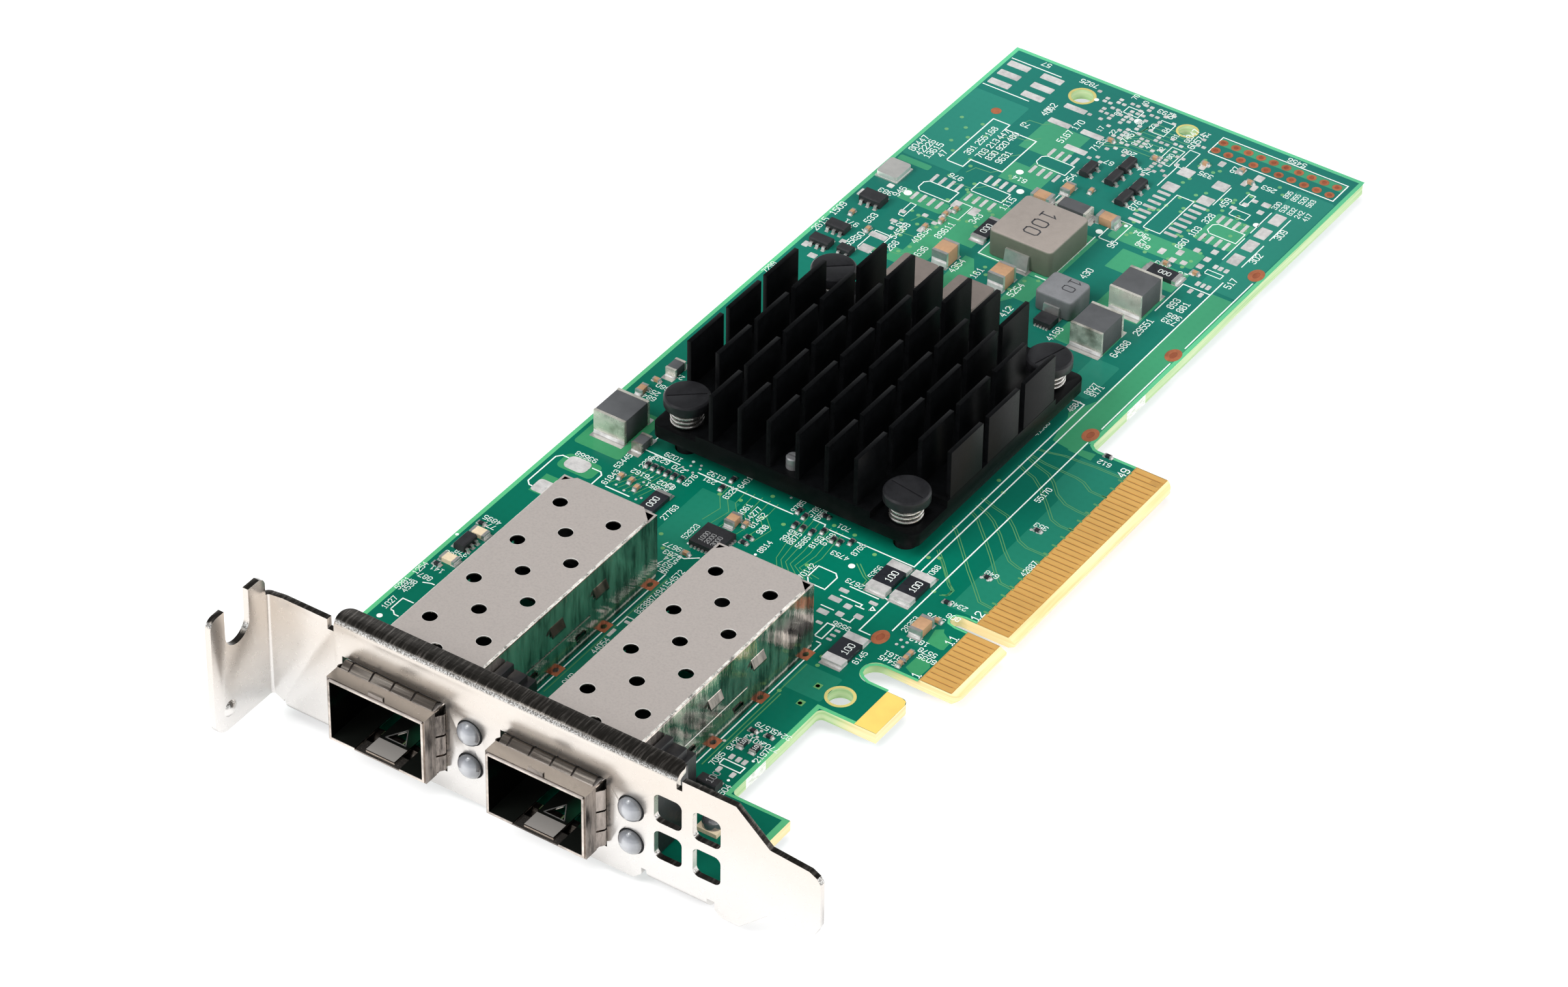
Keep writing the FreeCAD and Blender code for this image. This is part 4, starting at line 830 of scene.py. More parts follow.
def wedge(x0, x1, y0, y1, h, side):
    # solder fillet climbing the outer face of an end
    if side in ("-y", "+y"):
        s = -1 if side == "-y" else 1
        yb = y0 if s < 0 else y1
        prof = [(0.0, h), (0.05, h * 0.55), (0.13, h * 0.26), (0.24, 0.04), (0.0, 0.04)]
        pts = [[(x, yb + s * d, z) for d, z in prof] for x in (x0 + 0.03, (x0 + x1) / 2, x1 - 0.03)]
    else:
        s = -1 if side == "-x" else 1
        xb = x0 if s < 0 else x1
        prof = [(0.0, h), (0.05, h * 0.55), (0.13, h * 0.26), (0.24, 0.04), (0.0, 0.04)]
        pts = [[(xb + s * d, y, z) for d, z in prof] for y in (y0 + 0.03, (y0 + y1) / 2, y1 - 0.03)]
    rows = [[fil.verts.new(W(*p)) for p in r] for r in pts]
    for a, b in zip(rows[:-1], rows[1:]):
        for i in range(len(a)):
            j = (i + 1) % len(a)
            fil.faces.new([a[i], a[j], b[j], b[i]])
    fil.faces.new(rows[0][::-1])
    fil.faces.new(rows[-1])


ends = {"resistor_ends": 0.22, "capacitor_ends": 0.35, "ferrite_ends": 0.9, "sense_ends": 0.55, "link_ends": 0.5, "lamp_ends": 0.3}
for nm, grow in ends.items():
    isl = islands(nm)
    used = set()
    for i, a in enumerate(isl):
        if i in used:
            continue
        # its partner is the nearest end of the same size
        best, bd = None, 1e9
        for j, b in enumerate(isl):
            if j == i or j in used:
                continue
            if abs((a[1] - a[0]) - (b[1] - b[0])) > 0.02 or abs((a[3] - a[2]) - (b[3] - b[2])) > 0.02:
                continue
            ax, ay, bx_, by_ = (a[0] + a[1]) / 2, (a[2] + a[3]) / 2, (b[0] + b[1]) / 2, (b[2] + b[3]) / 2
            if abs(ax - bx_) > 0.02 and abs(ay - by_) > 0.02:
                continue
            d = math.hypot(ax - bx_, ay - by_)
            thin_y = (a[3] - a[2]) < (a[1] - a[0])
            if thin_y and abs(ax - bx_) > 0.02 and nm != "sense_ends":
                continue
            if not thin_y and abs(ay - by_) > 0.02 and nm != "sense_ends":
                continue
            if nm == "sense_ends" and abs(ax - bx_) > 0.02:
                continue
            if d < bd:
                best, bd = j, d
        if best is None:
            continue
        used.add(i)
        used.add(best)
        b = isl[best]
        along_y = abs((a[0] + a[1]) - (b[0] + b[1])) < 0.04
        for p, q in ((a, b), (b, a)):
            h = p[5] * (0.75 if nm in ("resistor_ends", "lamp_ends") else 0.16 if nm == "ferrite_ends" else 0.5)
            if along_y:
                s = -1 if (p[2] + p[3]) < (q[2] + q[3]) else 1
                y0, y1 = (p[2] - grow, p[3] + 0.08) if s < 0 else (p[2] - 0.08, p[3] + grow)
                pads.rect(p[0] - 0.08, p[1] + 0.08, y0, y1, 0.06)
                wedge(p[0], p[1], p[2], p[3], h, "-y" if s < 0 else "+y")
            else:
                s = -1 if (p[0] + p[1]) < (q[0] + q[1]) else 1
                x0, x1 = (p[0] - grow, p[1] + 0.08) if s < 0 else (p[0] - 0.08, p[1] + grow)
                pads.rect(x0, x1, p[2] - 0.08, p[3] + 0.08, 0.06)
                wedge(p[0], p[1], p[2], p[3], h, "-x" if s < 0 else "+x")
for a in islands("inductor_terminals"):
    pads.rect(a[0] - 0.35, a[1] + 0.35, a[2] - 0.35, a[3] + 0.35, 0.15)
for a in islands("ic_leads"):
    pads.rect(a[0] - 0.06, a[1] + 0.06, a[2] - 0.1, a[3] + 0.1, 0.04)
pads.done()
free_mesh("solder_fillets", fil, M["solder"], smooth=True)

# ------------------------------------------------------------------ empty footprints
ep = Sheet("empty_footprints", -0.001, 0.05, M["solder"], "tin")


def P(x, y, lx, ly, r=0.12):
    ep.rect(x - lx / 2, x + lx / 2, y - ly / 2, y + ly / 2, min(r, lx / 2.2, ly / 2.2))


P(3.7, -7.9, 2.6, 2.6, 0.5)
P(4.6, -1.7, 3.4, 2.6, 0.9)
for x, y in ((52.9, -39.6), (54.9, -39.6), (52.9, -36.9), (53.9, -36.9), (54.8, -36.9)):
    P(x, y, 0.62, 0.95)
for x, y, lx, ly in ((46.7, -8.0, 1.5, 0.9), (46.6, -5.1, 1.7, 0.9), (46.6, -3.1, 1.3, 0.7), (48.7, -7.2, 1.0, 0.9), (48.7, -5.4, 1.0, 0.9),
                     (50.9, -6.3, 1.1, 0.9), (51.0, -3.1, 1.2, 0.6), (47.5, -10.0, 0.9, 0.5), (50.3, -12.0, 0.8, 0.4),
                     (50.3, -11.1, 0.8, 0.4), (50.3, -10.1, 0.8, 0.4), (27.5, -26.3, 0.5, 1.6), (28.0, -23.6, 0.8, 0.5)):
    P(x, y, lx, ly)
for y in (72.3, 77.3):
    for x in (7.7, 9.0, 10.4, 11.7):
        P(x, y, 0.5, 1.9)
for y in (76.2, 81.3):
    for x in (13.9, 15.2, 16.4, 17.7):
        P(x, y, 0.5, 1.9)
for y in (86.8, 91.7):
    for x in (17.6, 18.9, 20.1, 21.4):
        P(x, y, 0.5, 1.9)
    for x in (44.8, 46.0, 47.3, 48.6):
        P(x, y, 0.5, 1.9)
for x in (35.3, 41.0):
    for k in range(7):
        P(x, 84.8 + 1.27 * k, 2.0, 0.55)
for x in (2.8, 8.3):
    for y in (101.5, 104.0, 106.6):
        P(x, y, 3.4, 1.3)
for x, y in ((14.8, 98.2), (14.8, 102.4), (20.0, 94.1), (20.0, 98.4)):
    P(x, y, 3.4, 1.1)
for x in (35.3, 40.9):
    for y in (94.2, 98.3):
        P(x, y, 2.1, 1.9)
for y in (85.0, 88.8, 92.2, 96.0):
    P(51.2, y, 1.7, 2.5)
for x, y, lx, ly in ((9.0, 58.4, 1.9, 1.6), (8.8, 61.7, 2.6, 1.1), (8.6, 65.8, 1.0, 0.7), (8.4, 68.3, 0.9, 0.7), (12.7, 66.2, 0.8, 1.1),
                     (11.4, 69.3, 0.8, 0.7), (13.4, 68.5, 0.8, 0.7), (13.5, 70.2, 0.8, 0.7), (13.5, 72.0, 0.7, 0.8), (13.5, 73.9, 1.2, 1.6),
                     (16.4, 73.8, 1.2, 1.8), (3.8, 72.3, 0.9, 0.9), (9.2, 64.2, 0.7, 0.7), (1.4, 68.8, 0.8, 1.6), (4.0, 52.9, 1.2, 1.0),
                     (1.8, 54.6, 0.9, 1.2), (5.6, 57.9, 0.9, 0.9), (44.8, 95.0, 0.9, 0.7), (45.8, 96.6, 0.9, 0.7), (46.5, 98.0, 0.8, 0.7),
                     (48.2, 98.1, 1.2, 1.0), (48.4, 96.2, 0.9, 0.9), (43.2, 100.8, 0.8, 1.3), (44.3, 102.9, 1.2, 1.4), (41.3, 102.9, 1.2, 1.5),
                     (38.3, 102.9, 0.9, 1.2), (36.5, 100.7, 0.9, 1.2), (44.8, 100.6, 0.8, 1.3), (42.0, 80.9, 0.9, 1.3), (44.2, 80.0, 0.9, 1.0),
                     (44.2, 82.0, 0.9, 1.2), (45.8, 80.3, 0.9, 0.9), (45.8, 83.8, 0.9, 0.9), (48.0, 79.0, 0.9, 1.0), (48.0, 80.9, 0.9, 1.0),
                     (48.0, 82.8, 0.9, 1.0), (48.0, 84.8, 0.9, 1.0), (49.8, 75.4, 0.6, 1.0), (51.4, 75.4, 0.6, 1.0), (49.8, 77.4, 0.6, 1.0),
                     (51.4, 77.4, 0.6, 1.0), (50.6, 77.4, 0.5, 1.0), (49.8, 82.0, 0.6, 0.9), (50.6, 82.0, 0.6, 0.9), (51.5, 82.0, 0.6, 0.9)):
    P(x, y, lx, ly)
taken = [(23.6, 90.7), (27.9, 91), (27.9, 94.6), (31.7, 88), (31.9, 91.2), (18.9, 89.3), (20, 96.3), (14.8, 100.3), (30.3, 106.9), (13.9, 105.6)]
small = []
tries = 0
while len(small) < 95 and tries < 4000:
    tries += 1
    x = rnd.choice([rnd.uniform(21.5, 34.0), rnd.uniform(15.5, 34.0), rnd.uniform(18.0, 33.5)])
    y = rnd.uniform(92.5, 109.0) if x > 22.6 else rnd.uniform(99.8, 109.0)
    if any(abs(x - a) < 2.3 and abs(y - b) < 2.2 for a, b in taken):
        continue
    x = round(x / 0.9) * 0.9
    y = round(y / 0.8) * 0.8
    if any(abs(x - a) < 0.8 and abs(y - b) < 0.75 for a, b in small):
        continue
    small.append((x, y))
for x, y in small:
    P(x, y, 0.62, 0.55)
for x, y in ((57.7, -8.0), (58.6, -8.0), (57.7, -7.0), (58.6, -7.0), (59.3, 8.9), (60.3, 8.9), (59.4, 20.5), (60.3, 20.5), (52.6, -32.2), (53.4, -32.2),
             (54.0, -31.4), (55.1, -31.4), (53.2, -31.0), (50.5, -35.0)):
    P(x, y, 0.42, 0.42, 0.18)
for x, y in ((16.0, 3.4), (15.9, 5.6), (16.6, 6.4), (17.6, 5.4), (18.0, 6.5), (16.8, 5.4), (17.7, 7.2), (11.0, -2.2), (12.5, -2.6), (10.8, 0.1), (13.6, 0.2),
             (14.8, -3.2), (15.2, -2.6), (33.3, -2.2), (32.4, 8.0), (30.8, 8.4)):
    P(x, y, 0.36, 0.36, 0.16)
ep.done()

vias = Sheet("tented_vias", -0.001, 0.016, M["via"], "pcb")
vl = [(2.7, 88.0), (2.9, 91.6), (4.7, 89.8), (6.2, 84.2), (6.2, 88.0), (6.2, 91.8), (4.7, 86.1), (8.1, 89.6), (50.7, -23.5), (54.1, -24.0), (54.1, -20.1),
      (51.9, -16.9), (51.4, -15.2), (50.6, 26.6), (52.4, 24.8), (40.0, -1.6), (51.7, 8.4), (52.9, 9.1), (38.4, 6.9), (41.6, 6.8), (55.9, 3.2),
      (30.8, -0.9), (23.2, -9.2), (24.8, -9.8), (21.4, -7.0), (22.9, 3.8), (25.8, 4.3), (30.1, 3.0), (28.7, 7.3), (33.0, 3.4), (45.8, 5.0)]
for _ in range(70):
    x, y = rnd.uniform(9.0, 34.0), rnd.uniform(56.0, 84.0)
    vl.append((round(x, 1), round(y, 1)))
for _ in range(60):
    vl.append((round(rnd.uniform(34.0, 49.0), 1), round(rnd.uniform(79.0, 103.0), 1)))
for x, y in vl:
    vias.disc(x, y, 0.3, 12)
vias.rect(53.7, 54.6, -24.4, -23.4)
vias.rect(53.7, 54.6, -20.6, -19.6)
vias.done()

# ------------------------------------------------------------------ white legend
sk = Sheet("white_legend", -0.001, 0.03, M["silk"], "pcb")
L = 0.17


def LN(*pts, w=L):
    sk.line(list(pts), w)


def BX(x0, x1, y0, y1, c=0.0, w=L):
    if c:
        LN((x0 + c, y0), (x1, y0), (x1, y1), (x0 + c, y1), (x0, y1 - c), (x0, y0 + c), (x0 + c, y0), w=w)
    else:
        LN((x0, y0), (x1, y0), (x1, y1), (x0, y1), (x0, y0), w=w)


# outline round the heatsink and the long lines beside it
LN((35.6, 6.4), (37.4, 6.4), (37.6, 5.8), (41.7, 5.8))
LN((42.7, 5.8), (51.25, 5.8), (51.25, 46.25), (49.4, 46.25))
LN((9.8, 8.7), (9.8, 5.8), (15.3, 5.8))
LN((18.2, 5.8), (32.8, 5.8))
LN((51.9, 5.2), (52.45, 5.3), (52.45, 79.5))
LN((55.85, -6.1), (55.85, 39.7))
LN((55.85, 43.2), (55.85, 60.2))
LN((55.8, 64.2), (55.8, 81.6))
LN((51.6, -1.4), (52.4, -1.5), (52.4, -8.4), (54.0, -8.4))
LN((54.4, -14.0), (54.4, -11.4))
for x in (26.5, 49.98):
    for a, b in ((-40.4, -37.1), (-34.9, -27.0), (-24.7, -17.1), (-14.9, -13.2)):
        LN((x, a), (x, b))
    LN((x, -13.2), (x - 0.7, -13.2))
# choke outline
LN((4.1, -8.5), (1.9, -8.5), (1.3, -7.9), (1.3, -1.9), (1.9, -1.2), (3.9, -1.2))
LN((6.6, -1.2), (7.9, -1.2), (8.35, -1.7), (8.35, -4.0))
LN((10.1, -3.2), (13.7, -3.2))
LN((2.4, -38.3), (2.4, -35.7), (4.0, -35.7))
LN((2.4, -38.3), (2.9, -38.3), (3.4, -38.8), (4.0, -38.8))
LN((2.6, -31.8), (3.6, -31.4), (4.0, -31.4))
LN((27.3, -24.8), (27.3, -22.7), (28.2, -22.7))
LN((25.9, -9.4), (26.6, -9.4), (28.1, -8.2))
LN((29.9, -5.3), (29.9, -3.4))
BX(52.3, 55.4, -38.8, -37.7)
LN((41.3, -3.4), (41.3, -0.9), (43.9, -0.9), (44.5, -1.5), (44.5, -4.3), (42.0, -4.3), (41.3, -3.4))
BX(48.4, 49.5, -12.4, -9.5)
LN((46.8, -4.1), (50.0, -4.1), (50.0, -4.6))
LN((46.8, -2.0), (51.0, -2.0))
LN((49.4, -7.8), (50.6, -7.8), (50.6, -6.9))
LN((49.4, -4.7), (50.6, -4.7))
LN((51.3, -4.5), (51.3, -3.7), (51.9, -4.1), (51.3, -4.5))
LN((45.8, -7.0), (47.6, -7.0))
# rectangles and outlines at the far end
BX(7.0, 12.3, 73.7, 76.3, 0.6, w=0.14)
BX(13.3, 18.3, 77.7, 80.0, 0.0, w=0.14)
BX(17.0, 22.0, 88.1, 90.6, 0.6, w=0.14)
BX(44.5, 49.3, 88.1, 90.6, 0.6, w=0.14)
BX(37.0, 39.7, 84.1, 93.1, 0.0, w=0.14)
LN((6.7, 81.8), (6.7, 93.8), (9.4, 93.8), (9.4, 92.6), (14.5, 92.6), (14.5, 83.8), (9.4, 83.8), (9.4, 81.8), (6.7, 81.8), w=0.17)
LN((0.9, 100.2), (8.4, 100.2), w=0.16)
LN((0.9, 107.8), (9.0, 107.8), w=0.16)
BX(35.2, 55.2, 104.2, 108.45, w=0.15)
LN((21.9, 76.0), (21.9, 66.3), (27.0, 66.3), w=0.16)
LN((31.0, 66.3), (32.9, 66.3), (32.9, 78.4), w=0.16)
LN((23.8, 82.0), (23.8, 86.4), w=0.14)
LN((48.2, 69.0), (48.2, 76.2), (52.3, 76.2), w=0.15)
BX(8.2, 9.1, 67.4, 70.6, w=0.12)
BX(7.8, 10.3, 58.0, 62.6, w=0.14)
BX(45.0, 47.6, 93.4, 94.9, w=0.12)
BX(45.0, 46.0, 96.2, 99.0, w=0.12)
BX(49.2, 51.7, 80.0, 80.9, w=0.12)
BX(33.3, 35.6, 78.6, 83.6, w=0.14)
LN((49.7, 84.0), (49.7, 89.8), w=0.14)
LN((52.7, 84.0), (52.7, 89.8), w=0.14)
LN((49.7, 91.4), (49.7, 97.0), w=0.14)
LN((52.7, 91.4), (52.7, 97.0), w=0.14)
LN((42.2, 94.0), (42.2, 98.8), w=0.14)
LN((33.6, 93.5), (33.6, 99.0), w=0.14)
BX(20.6, 23.0, 105.6, 107.2, w=0.12)
BX(26.1, 28.3, 103.8, 107.0, w=0.12)
BX(30.6, 32.6, 98.2, 102.4, w=0.12)
BX(33.0, 34.6, 98.8, 103.2, w=0.12)
BX(13.2, 15.6, 71.0, 74.6, w=0.12)
for x, y, r in ((6.6, 72.3, 0.6), (19.0, 81.4, 0.55), (16.5, 85.2, 0.55), (44.7, 1.45, 0.45), (55.0, -40.65, 0.2), (55.5, -36.1, 0.2), (0.4, -21.8, 0.25),
                (2.05, -40.0, 0.4), (23.5, 104.9, 0.6), (32.7, 79.8, 0.5), (49.4, 93.4, 0.45), (25.3, -6.6, 0.2), (33.5, -3.6, 0.2), (16.4, 7.3, 0.22),
                (16.0, 106.0, 0.35), (35.0, 83.0, 0.3)):
    sk.disc(x, y, r, 16)

seq = [rnd.randint(100, 989) for _ in range(400)]
cnt = [0]


def N(x, y, n=3, h=0.85, ang=0.0, val=None, w=0.12):
    h *= 0.92
    t = val or "".join(str(seq[(cnt[0] + k) % 400])[k % 3] for k in range(n))
    cnt[0] += 1
    numerals(sk, t, x, y, h, ang, w)


# numbers beside the parts, along the board
for x, y, n in ((52.0, -39.4, 4), (52.2, -36.0, 4), (56.2, -36.0, 4), (56.0, -43.2, 3), (55.8, -14.0, 4), (41.0, -4.2, 5), (57.4, -5.4, 5),
                (57.3, 25.7, 5), (63.7, 12.2, 5), (48.2, 1.0, 4), (54.1, 5.2, 4), (44.0, 3.4, 4), (39.7, 2.9, 4), (38.8, 1.6, 4), (37.4, 0.6, 4),
                (36.1, 0.6, 4), (35.1, 0.6, 4), (35.1, 6.6, 4), (36.2, 6.7, 4), (32.9, 6.3, 4), (31.8, 0.1, 3), (30.3, 0.6, 5), (29.1, 0.6, 6),
                (27.7, 1.1, 5), (24.6, -6.1, 5), (20.2, -4.5, 5), (9.9, -2.9, 5), (11.9, 2.6, 4), (18.6, 2.7, 4), (17.2, 0.2, 3), (24.3, 3.5, 4),
                (24.6, 6.4, 4), (9.3, 0.7, 6), (1.0, -34.6, 4), (1.0, -31.0, 4), (2.0, -34.6, 4), (1.9, -38.5, 4), (28.2, -30.7, 5),
                (28.2, -21.4, 5), (28.2, -18.1, 5), (28.2, -14.7, 5), (34.0, -2.9, 4), (49.7, 37.2, 5), (1.1, 46.2, 4), (50.7, 44.0, 4),
                (50.6, 48.4, 4), (51.5, 48.4, 4)):
    N(x, y, n)
# numbers across the board
for x, y, n in ((54.6, -32.5, 4), (57.0, -32.5, 4), (54.4, -29.8, 4), (56.9, -29.8, 4), (48.2, -0.8, 4), (51.4, -8.6, 4), (59.8, -10.8, 4), (59.8, -9.7, 4),
                (63.6, -7.9, 4), (63.0, -6.8, 4), (61.0, -5.6, 4), (60.2, -0.6, 4), (61.6, 0.7, 3), (61.2, 2.9, 4), (61.0, 10.5, 3), (61.0, 22.1, 3),
                (60.8, 37.7, 3), (43.6, 2.7, 4), (40.6, 7.6, 3), (3.7, -25.0, 4), (4.0, -24.0, 3), (3.4, -28.4, 3), (3.1, -30.4, 3), (3.6, -17.7, 3),
                (3.6, -16.6, 4), (26.4, -12.4, 3), (26.2, -11.3, 3), (26.3, -10.2, 3), (26.2, -9.2, 4), (25.3, -7.9, 4), (28.4, -36.6, 1), (28.4, -35.4, 1),
                (14.1, 1.8, 5), (17.5, 1.8, 4), (16.5, 0.6, 4), (14.0, 5.6, 4), (16.6, 5.4, 3), (15.0, 7.0, 4), (21.2, 5.7, 3), (21.7, 7.0, 4),
                (6.2, 0.6, 5), (5.3, 21.2, 4), (4.7, 16.6, 4), (4.9, 15.4, 3), (5.1, 18.2, 3)):
    N(x, y, n, 0.85, 90.0)
for x, y, t in ((64.0 - 0.5, -11.9, "1"), (63.5, -4.4, "11"), (63.6, 1.4, "12"), (63.5, 36.2, "49")):
    N(x, y, 0, 1.25, 0.0, t, 0.12)
# denser numbers at the far end
for x, y, n in ((1.9, 81.0, 5), (3.2, 80.7, 5), (4.5, 80.7, 5), (5.9, 82.0, 2), (1.3, 58.0, 4), (1.3, 62.3, 4), (6.9, 56.6, 4), (6.2, 63.4, 3), (6.0, 70.8, 3),
                (7.1, 59.6, 3), (11.0, 62.4, 5), (12.0, 59.8, 3), (13.9, 63.2, 5), (15.9, 66.0, 5), (15.9, 61.0, 3), (17.9, 71.5, 3), (19.6, 76.5, 4),
                (21.6, 60.6, 4), (24.7, 61.2, 3), (31.0, 60.6, 4), (32.5, 56.2, 3), (36.8, 69.6, 3), (40.4, 55.4, 4), (49.3, 57.2, 5), (49.3, 63.0, 5),
                (49.9, 70.6, 3), (51.4, 70.6, 3), (53.9, 78.8, 3), (53.8, 85.6, 3), (53.8, 92.2, 3), (39.3, 80.2, 3), (36.2, 77.6, 2), (43.8, 82.8, 3),
                (43.8, 86.2, 3), (43.8, 89.8, 3), (43.8, 94.2, 3), (41.0, 102.0, 2), (13.3, 85.3, 4), (12.3, 98.6, 4), (17.6, 94.4, 4), (17.6, 98.2, 3),
                (23.4, 86.8, 3), (22.4, 95.4, 4), (34.0, 86.6, 3), (33.2, 103.6, 5), (31.8, 105.6, 3), (27.0, 108.0, 2), (24.8, 99.6, 4)):
    N(x, y, n, 1.05)
for r, xx in enumerate((8.6, 10.3, 11.7)):
    for yy in (84.6, 87.4, 90.0):
        N(xx, yy + 0.3 * r, 3, 1.0)
for k in range(9):
    N(49.8 + 1.2 * (k % 5), 98.0 + 3.1 * (k // 5), 3, 0.8)
for k in range(16):
    N(20.5 + 1.9 * (k % 7), 99.8 + 4.4 * (k // 7) + 0.3 * (k % 3), 2, 0.8)
for x, y, n in ((5.2, 62.5, 3), (5.0, 71.2, 3), (10.6, 66.0, 3), (11.0, 79.6, 3), (11.8, 95.5, 2), (18.4, 84.2, 3), (27.4, 98.2, 3), (31.4, 95.8, 3),
                (40.2, 80.9, 3), (38.6, 83.0, 3), (44.6, 78.7, 3), (47.6, 78.4, 2), (52.0, 68.4, 3), (52.0, 69.7, 3), (38.8, 99.8, 3), (47.6, 102.0, 3),
                (14.5, 109.2, 4), (26.5, 109.2, 3), (33.5, 108.0, 2), (6.4, 109.6, 2), (12.6, 100.6, 2), (48.0, 109.6, 4), (26.0, 94.6, 2)):
    N(x, y, n, 0.95, 90.0)
sk.done()

# ------------------------------------------------------------------ numbers on top of parts
nb = Sheet("white_part_numbers", 0.62, 0.63, M["silk"], "pcb")
for xa, ya, t, up in ((52.5, -14.1, "100", 1), (49.2, 0.7, "100", 1), (52.8, 0.7, "100", 1)):
    numerals(nb, t, xa + 1.75 - 0.15, ya + 0.28, 0.9, 0.0, 0.12, 0.84)
nb.z0, nb.z1 = 0.60, 0.612
numerals(nb, "000", 17.65, -3.9, 0.85, 0.0, 0.12, 0.86)
numerals(nb, "000", 20.65, 69.9, 0.85, 0.0, 0.12, 0.86)
numerals(nb, "000", 46.1, 76.65, 0.75, 90.0, 0.12, 0.86)
nb.z0, nb.z1 = 0.45, 0.462
for x, y in ((52.75, -34.3), (54.55, -34.3)):
    numerals(nb, "10", x + 0.27, y - 0.38, 0.5, 0.0, 0.14, 0.86)
nb.done()

ink = surface("dark_ink", (0.045, 0.045, 0.05), 0.0, (0.5, 0.65), 0.2, 3000, 0.2)
di = Sheet("inductor_numbers", 4.2, 4.212, ink, "inductor_brown")
numerals(di, "100", 27.0, 74.6, 2.2, 180.0, 0.10, 0.95)
di.z0, di.z1 = 3.2, 3.212
numerals(di, "10", 37.5, 64.9, 1.7, 180.0, 0.10, 0.95)
di.done()
gr = surface("grey_ink", (0.30, 0.30, 0.30), 0.0, (0.5, 0.65), 0.2, 3000, 0.2)
gi = Sheet("chip_numbers", 0.85, 0.861, gr, "epoxy_black")
for k, t in enumerate(("1000", "2000", "3000")):
    numerals(gi, t, 27.0 + 0.95 * k, -6.1, 0.62, 0.0, 0.13, 0.86)
gi.z0, gi.z1 = 1.15, 1.161
numerals(gi, "100", 54.3, -43.3, 0.9, 0.0, 0.12, 0.86)
gi.done()

# ------------------------------------------------------------------ painted highlight along the cage fold line, and light guide cores
fold_highlight = bmesh.new()


def strip_mesh(bm, path, w, h, up=Vector((0, 0, 1))):
    rows = []
    for i, p in enumerate(path):
        a = path[max(0, i - 1)]
        c = path[min(len(path) - 1, i + 1)]
        d = (c - a).normalized()
        side = d.cross(up).normalized()
        nrm = side.cross(d).normalized()
        rows.append([bm.verts.new(p + side * w / 2), bm.verts.new(p + side * w * 0.3 + nrm * h),
                     bm.verts.new(p - side * w * 0.3 + nrm * h), bm.verts.new(p - side * w / 2)])
    for a, b in zip(rows[:-1], rows[1:]):
        for i in range(4):
            j = (i + 1) % 4
            bm.faces.new([a[i], a[j], b[j], b[i]])
    bm.faces.new(rows[0])
    bm.faces.new(rows[-1][::-1])


# a speckled painted highlight along the top fold of the wall that faces the contacts
for k in (1, 2):
    lo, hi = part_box("cage_%d" % k)
    cx = (lo.x + hi.x) / 2
    xr = cx + 0.0071
    n = 60
    y0, y1 = OY + (-57.0) / 1000, OY + (-16.6) / 1000
    path = []
    for i in range(n + 1):
        y = y0 + (y1 - y0) * i / n
        path.append(Vector((xr - 0.00018 + rnd.uniform(-1, 1) * 0.000025, y, OZ + 0.01045 - 0.00001)))
    strip_mesh(fold_highlight, path, 0.00034, 0.00004)
# bright sheared lower edge of the long slit in each wall that faces the contacts
slit = bmesh.new()
for k in (1, 2):
    lo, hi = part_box("cage_%d" % k)
    xw = (lo.x + hi.x) / 2 + 0.0071
    n = 48
    ya, yb = OY - 0.0419, OY - 0.0288
    prev = None
    for i in range(n + 1):
        y = ya + (yb - ya) * i / n
        j1, j2 = rnd.uniform(-1, 1) * 0.000012, rnd.uniform(-1, 1) * 0.000012
        q = [slit.verts.new((xw - 0.00001, y, OZ + 0.003555)), slit.verts.new((xw - 0.00005, y, OZ + 0.003650 + j1)),
             slit.verts.new((xw - 0.00017, y, OZ + 0.003650 + j2)), slit.verts.new((xw - 0.00021, y, OZ + 0.003555))]
        if prev:
            for a in range(4):
                b = (a + 1) % 4
                slit.faces.new([prev[a], q[a], q[b], prev[b]])
        else:
            slit.faces.new(q[::-1])
        prev = q
    slit.faces.new(prev)
    bmesh.ops.recalc_face_normals(slit, faces=slit.faces)
free_mesh("cage_slit_edges", slit, surface("sheared_edge", (0.78, 0.76, 0.72), 0.9, (0.2, 0.45), 0.25, 3500, 0.5, 0.00004))
free_mesh("cage_fold_edges", fold_highlight, surface("fold_painted_highlight", (0.62, 0.60, 0.56), 0.25, (0.3, 0.6), 0.6, 4200, 1.0, 0.00006, dark=(0.10, 0.10, 0.09)))

# painted highlight: a bright crescent on the far side of each vent, where its rounded edge catches the light
vr = Sheet("vent_painted_highlights", 10.36, 10.458, surface("vent_painted_highlight", (0.80, 0.78, 0.74), 0.3, (0.3, 0.45), 0.15, 3000, 0.2), "cage")
for k in (1, 2):
    lo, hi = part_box("cage_%d" % k)
    xc = ((lo.x + hi.x) / 2 - OX) * 1000
    spots = [(xc + dx, -19.5 - 8.95 * i) for i in range(5) for dx in (-4.05, 4.05)] + [(xc, -23.95 - 8.95 * i) for i in range(4)]
    for x, y in spots:
        inn, out = [], []
        for a in range(28):
            t = 2 * math.pi * a / 28
            w = 0.012 + 0.055 * max(0.0, math.cos(t - math.radians(120)))
            inn.append((x + (1.0 - w) * math.cos(t), y + (1.0 - w) * math.sin(t)))
            out.append((x + 1.004 * math.cos(t), y + 1.004 * math.sin(t)))
        vr.band(inn, out)
vr.done()
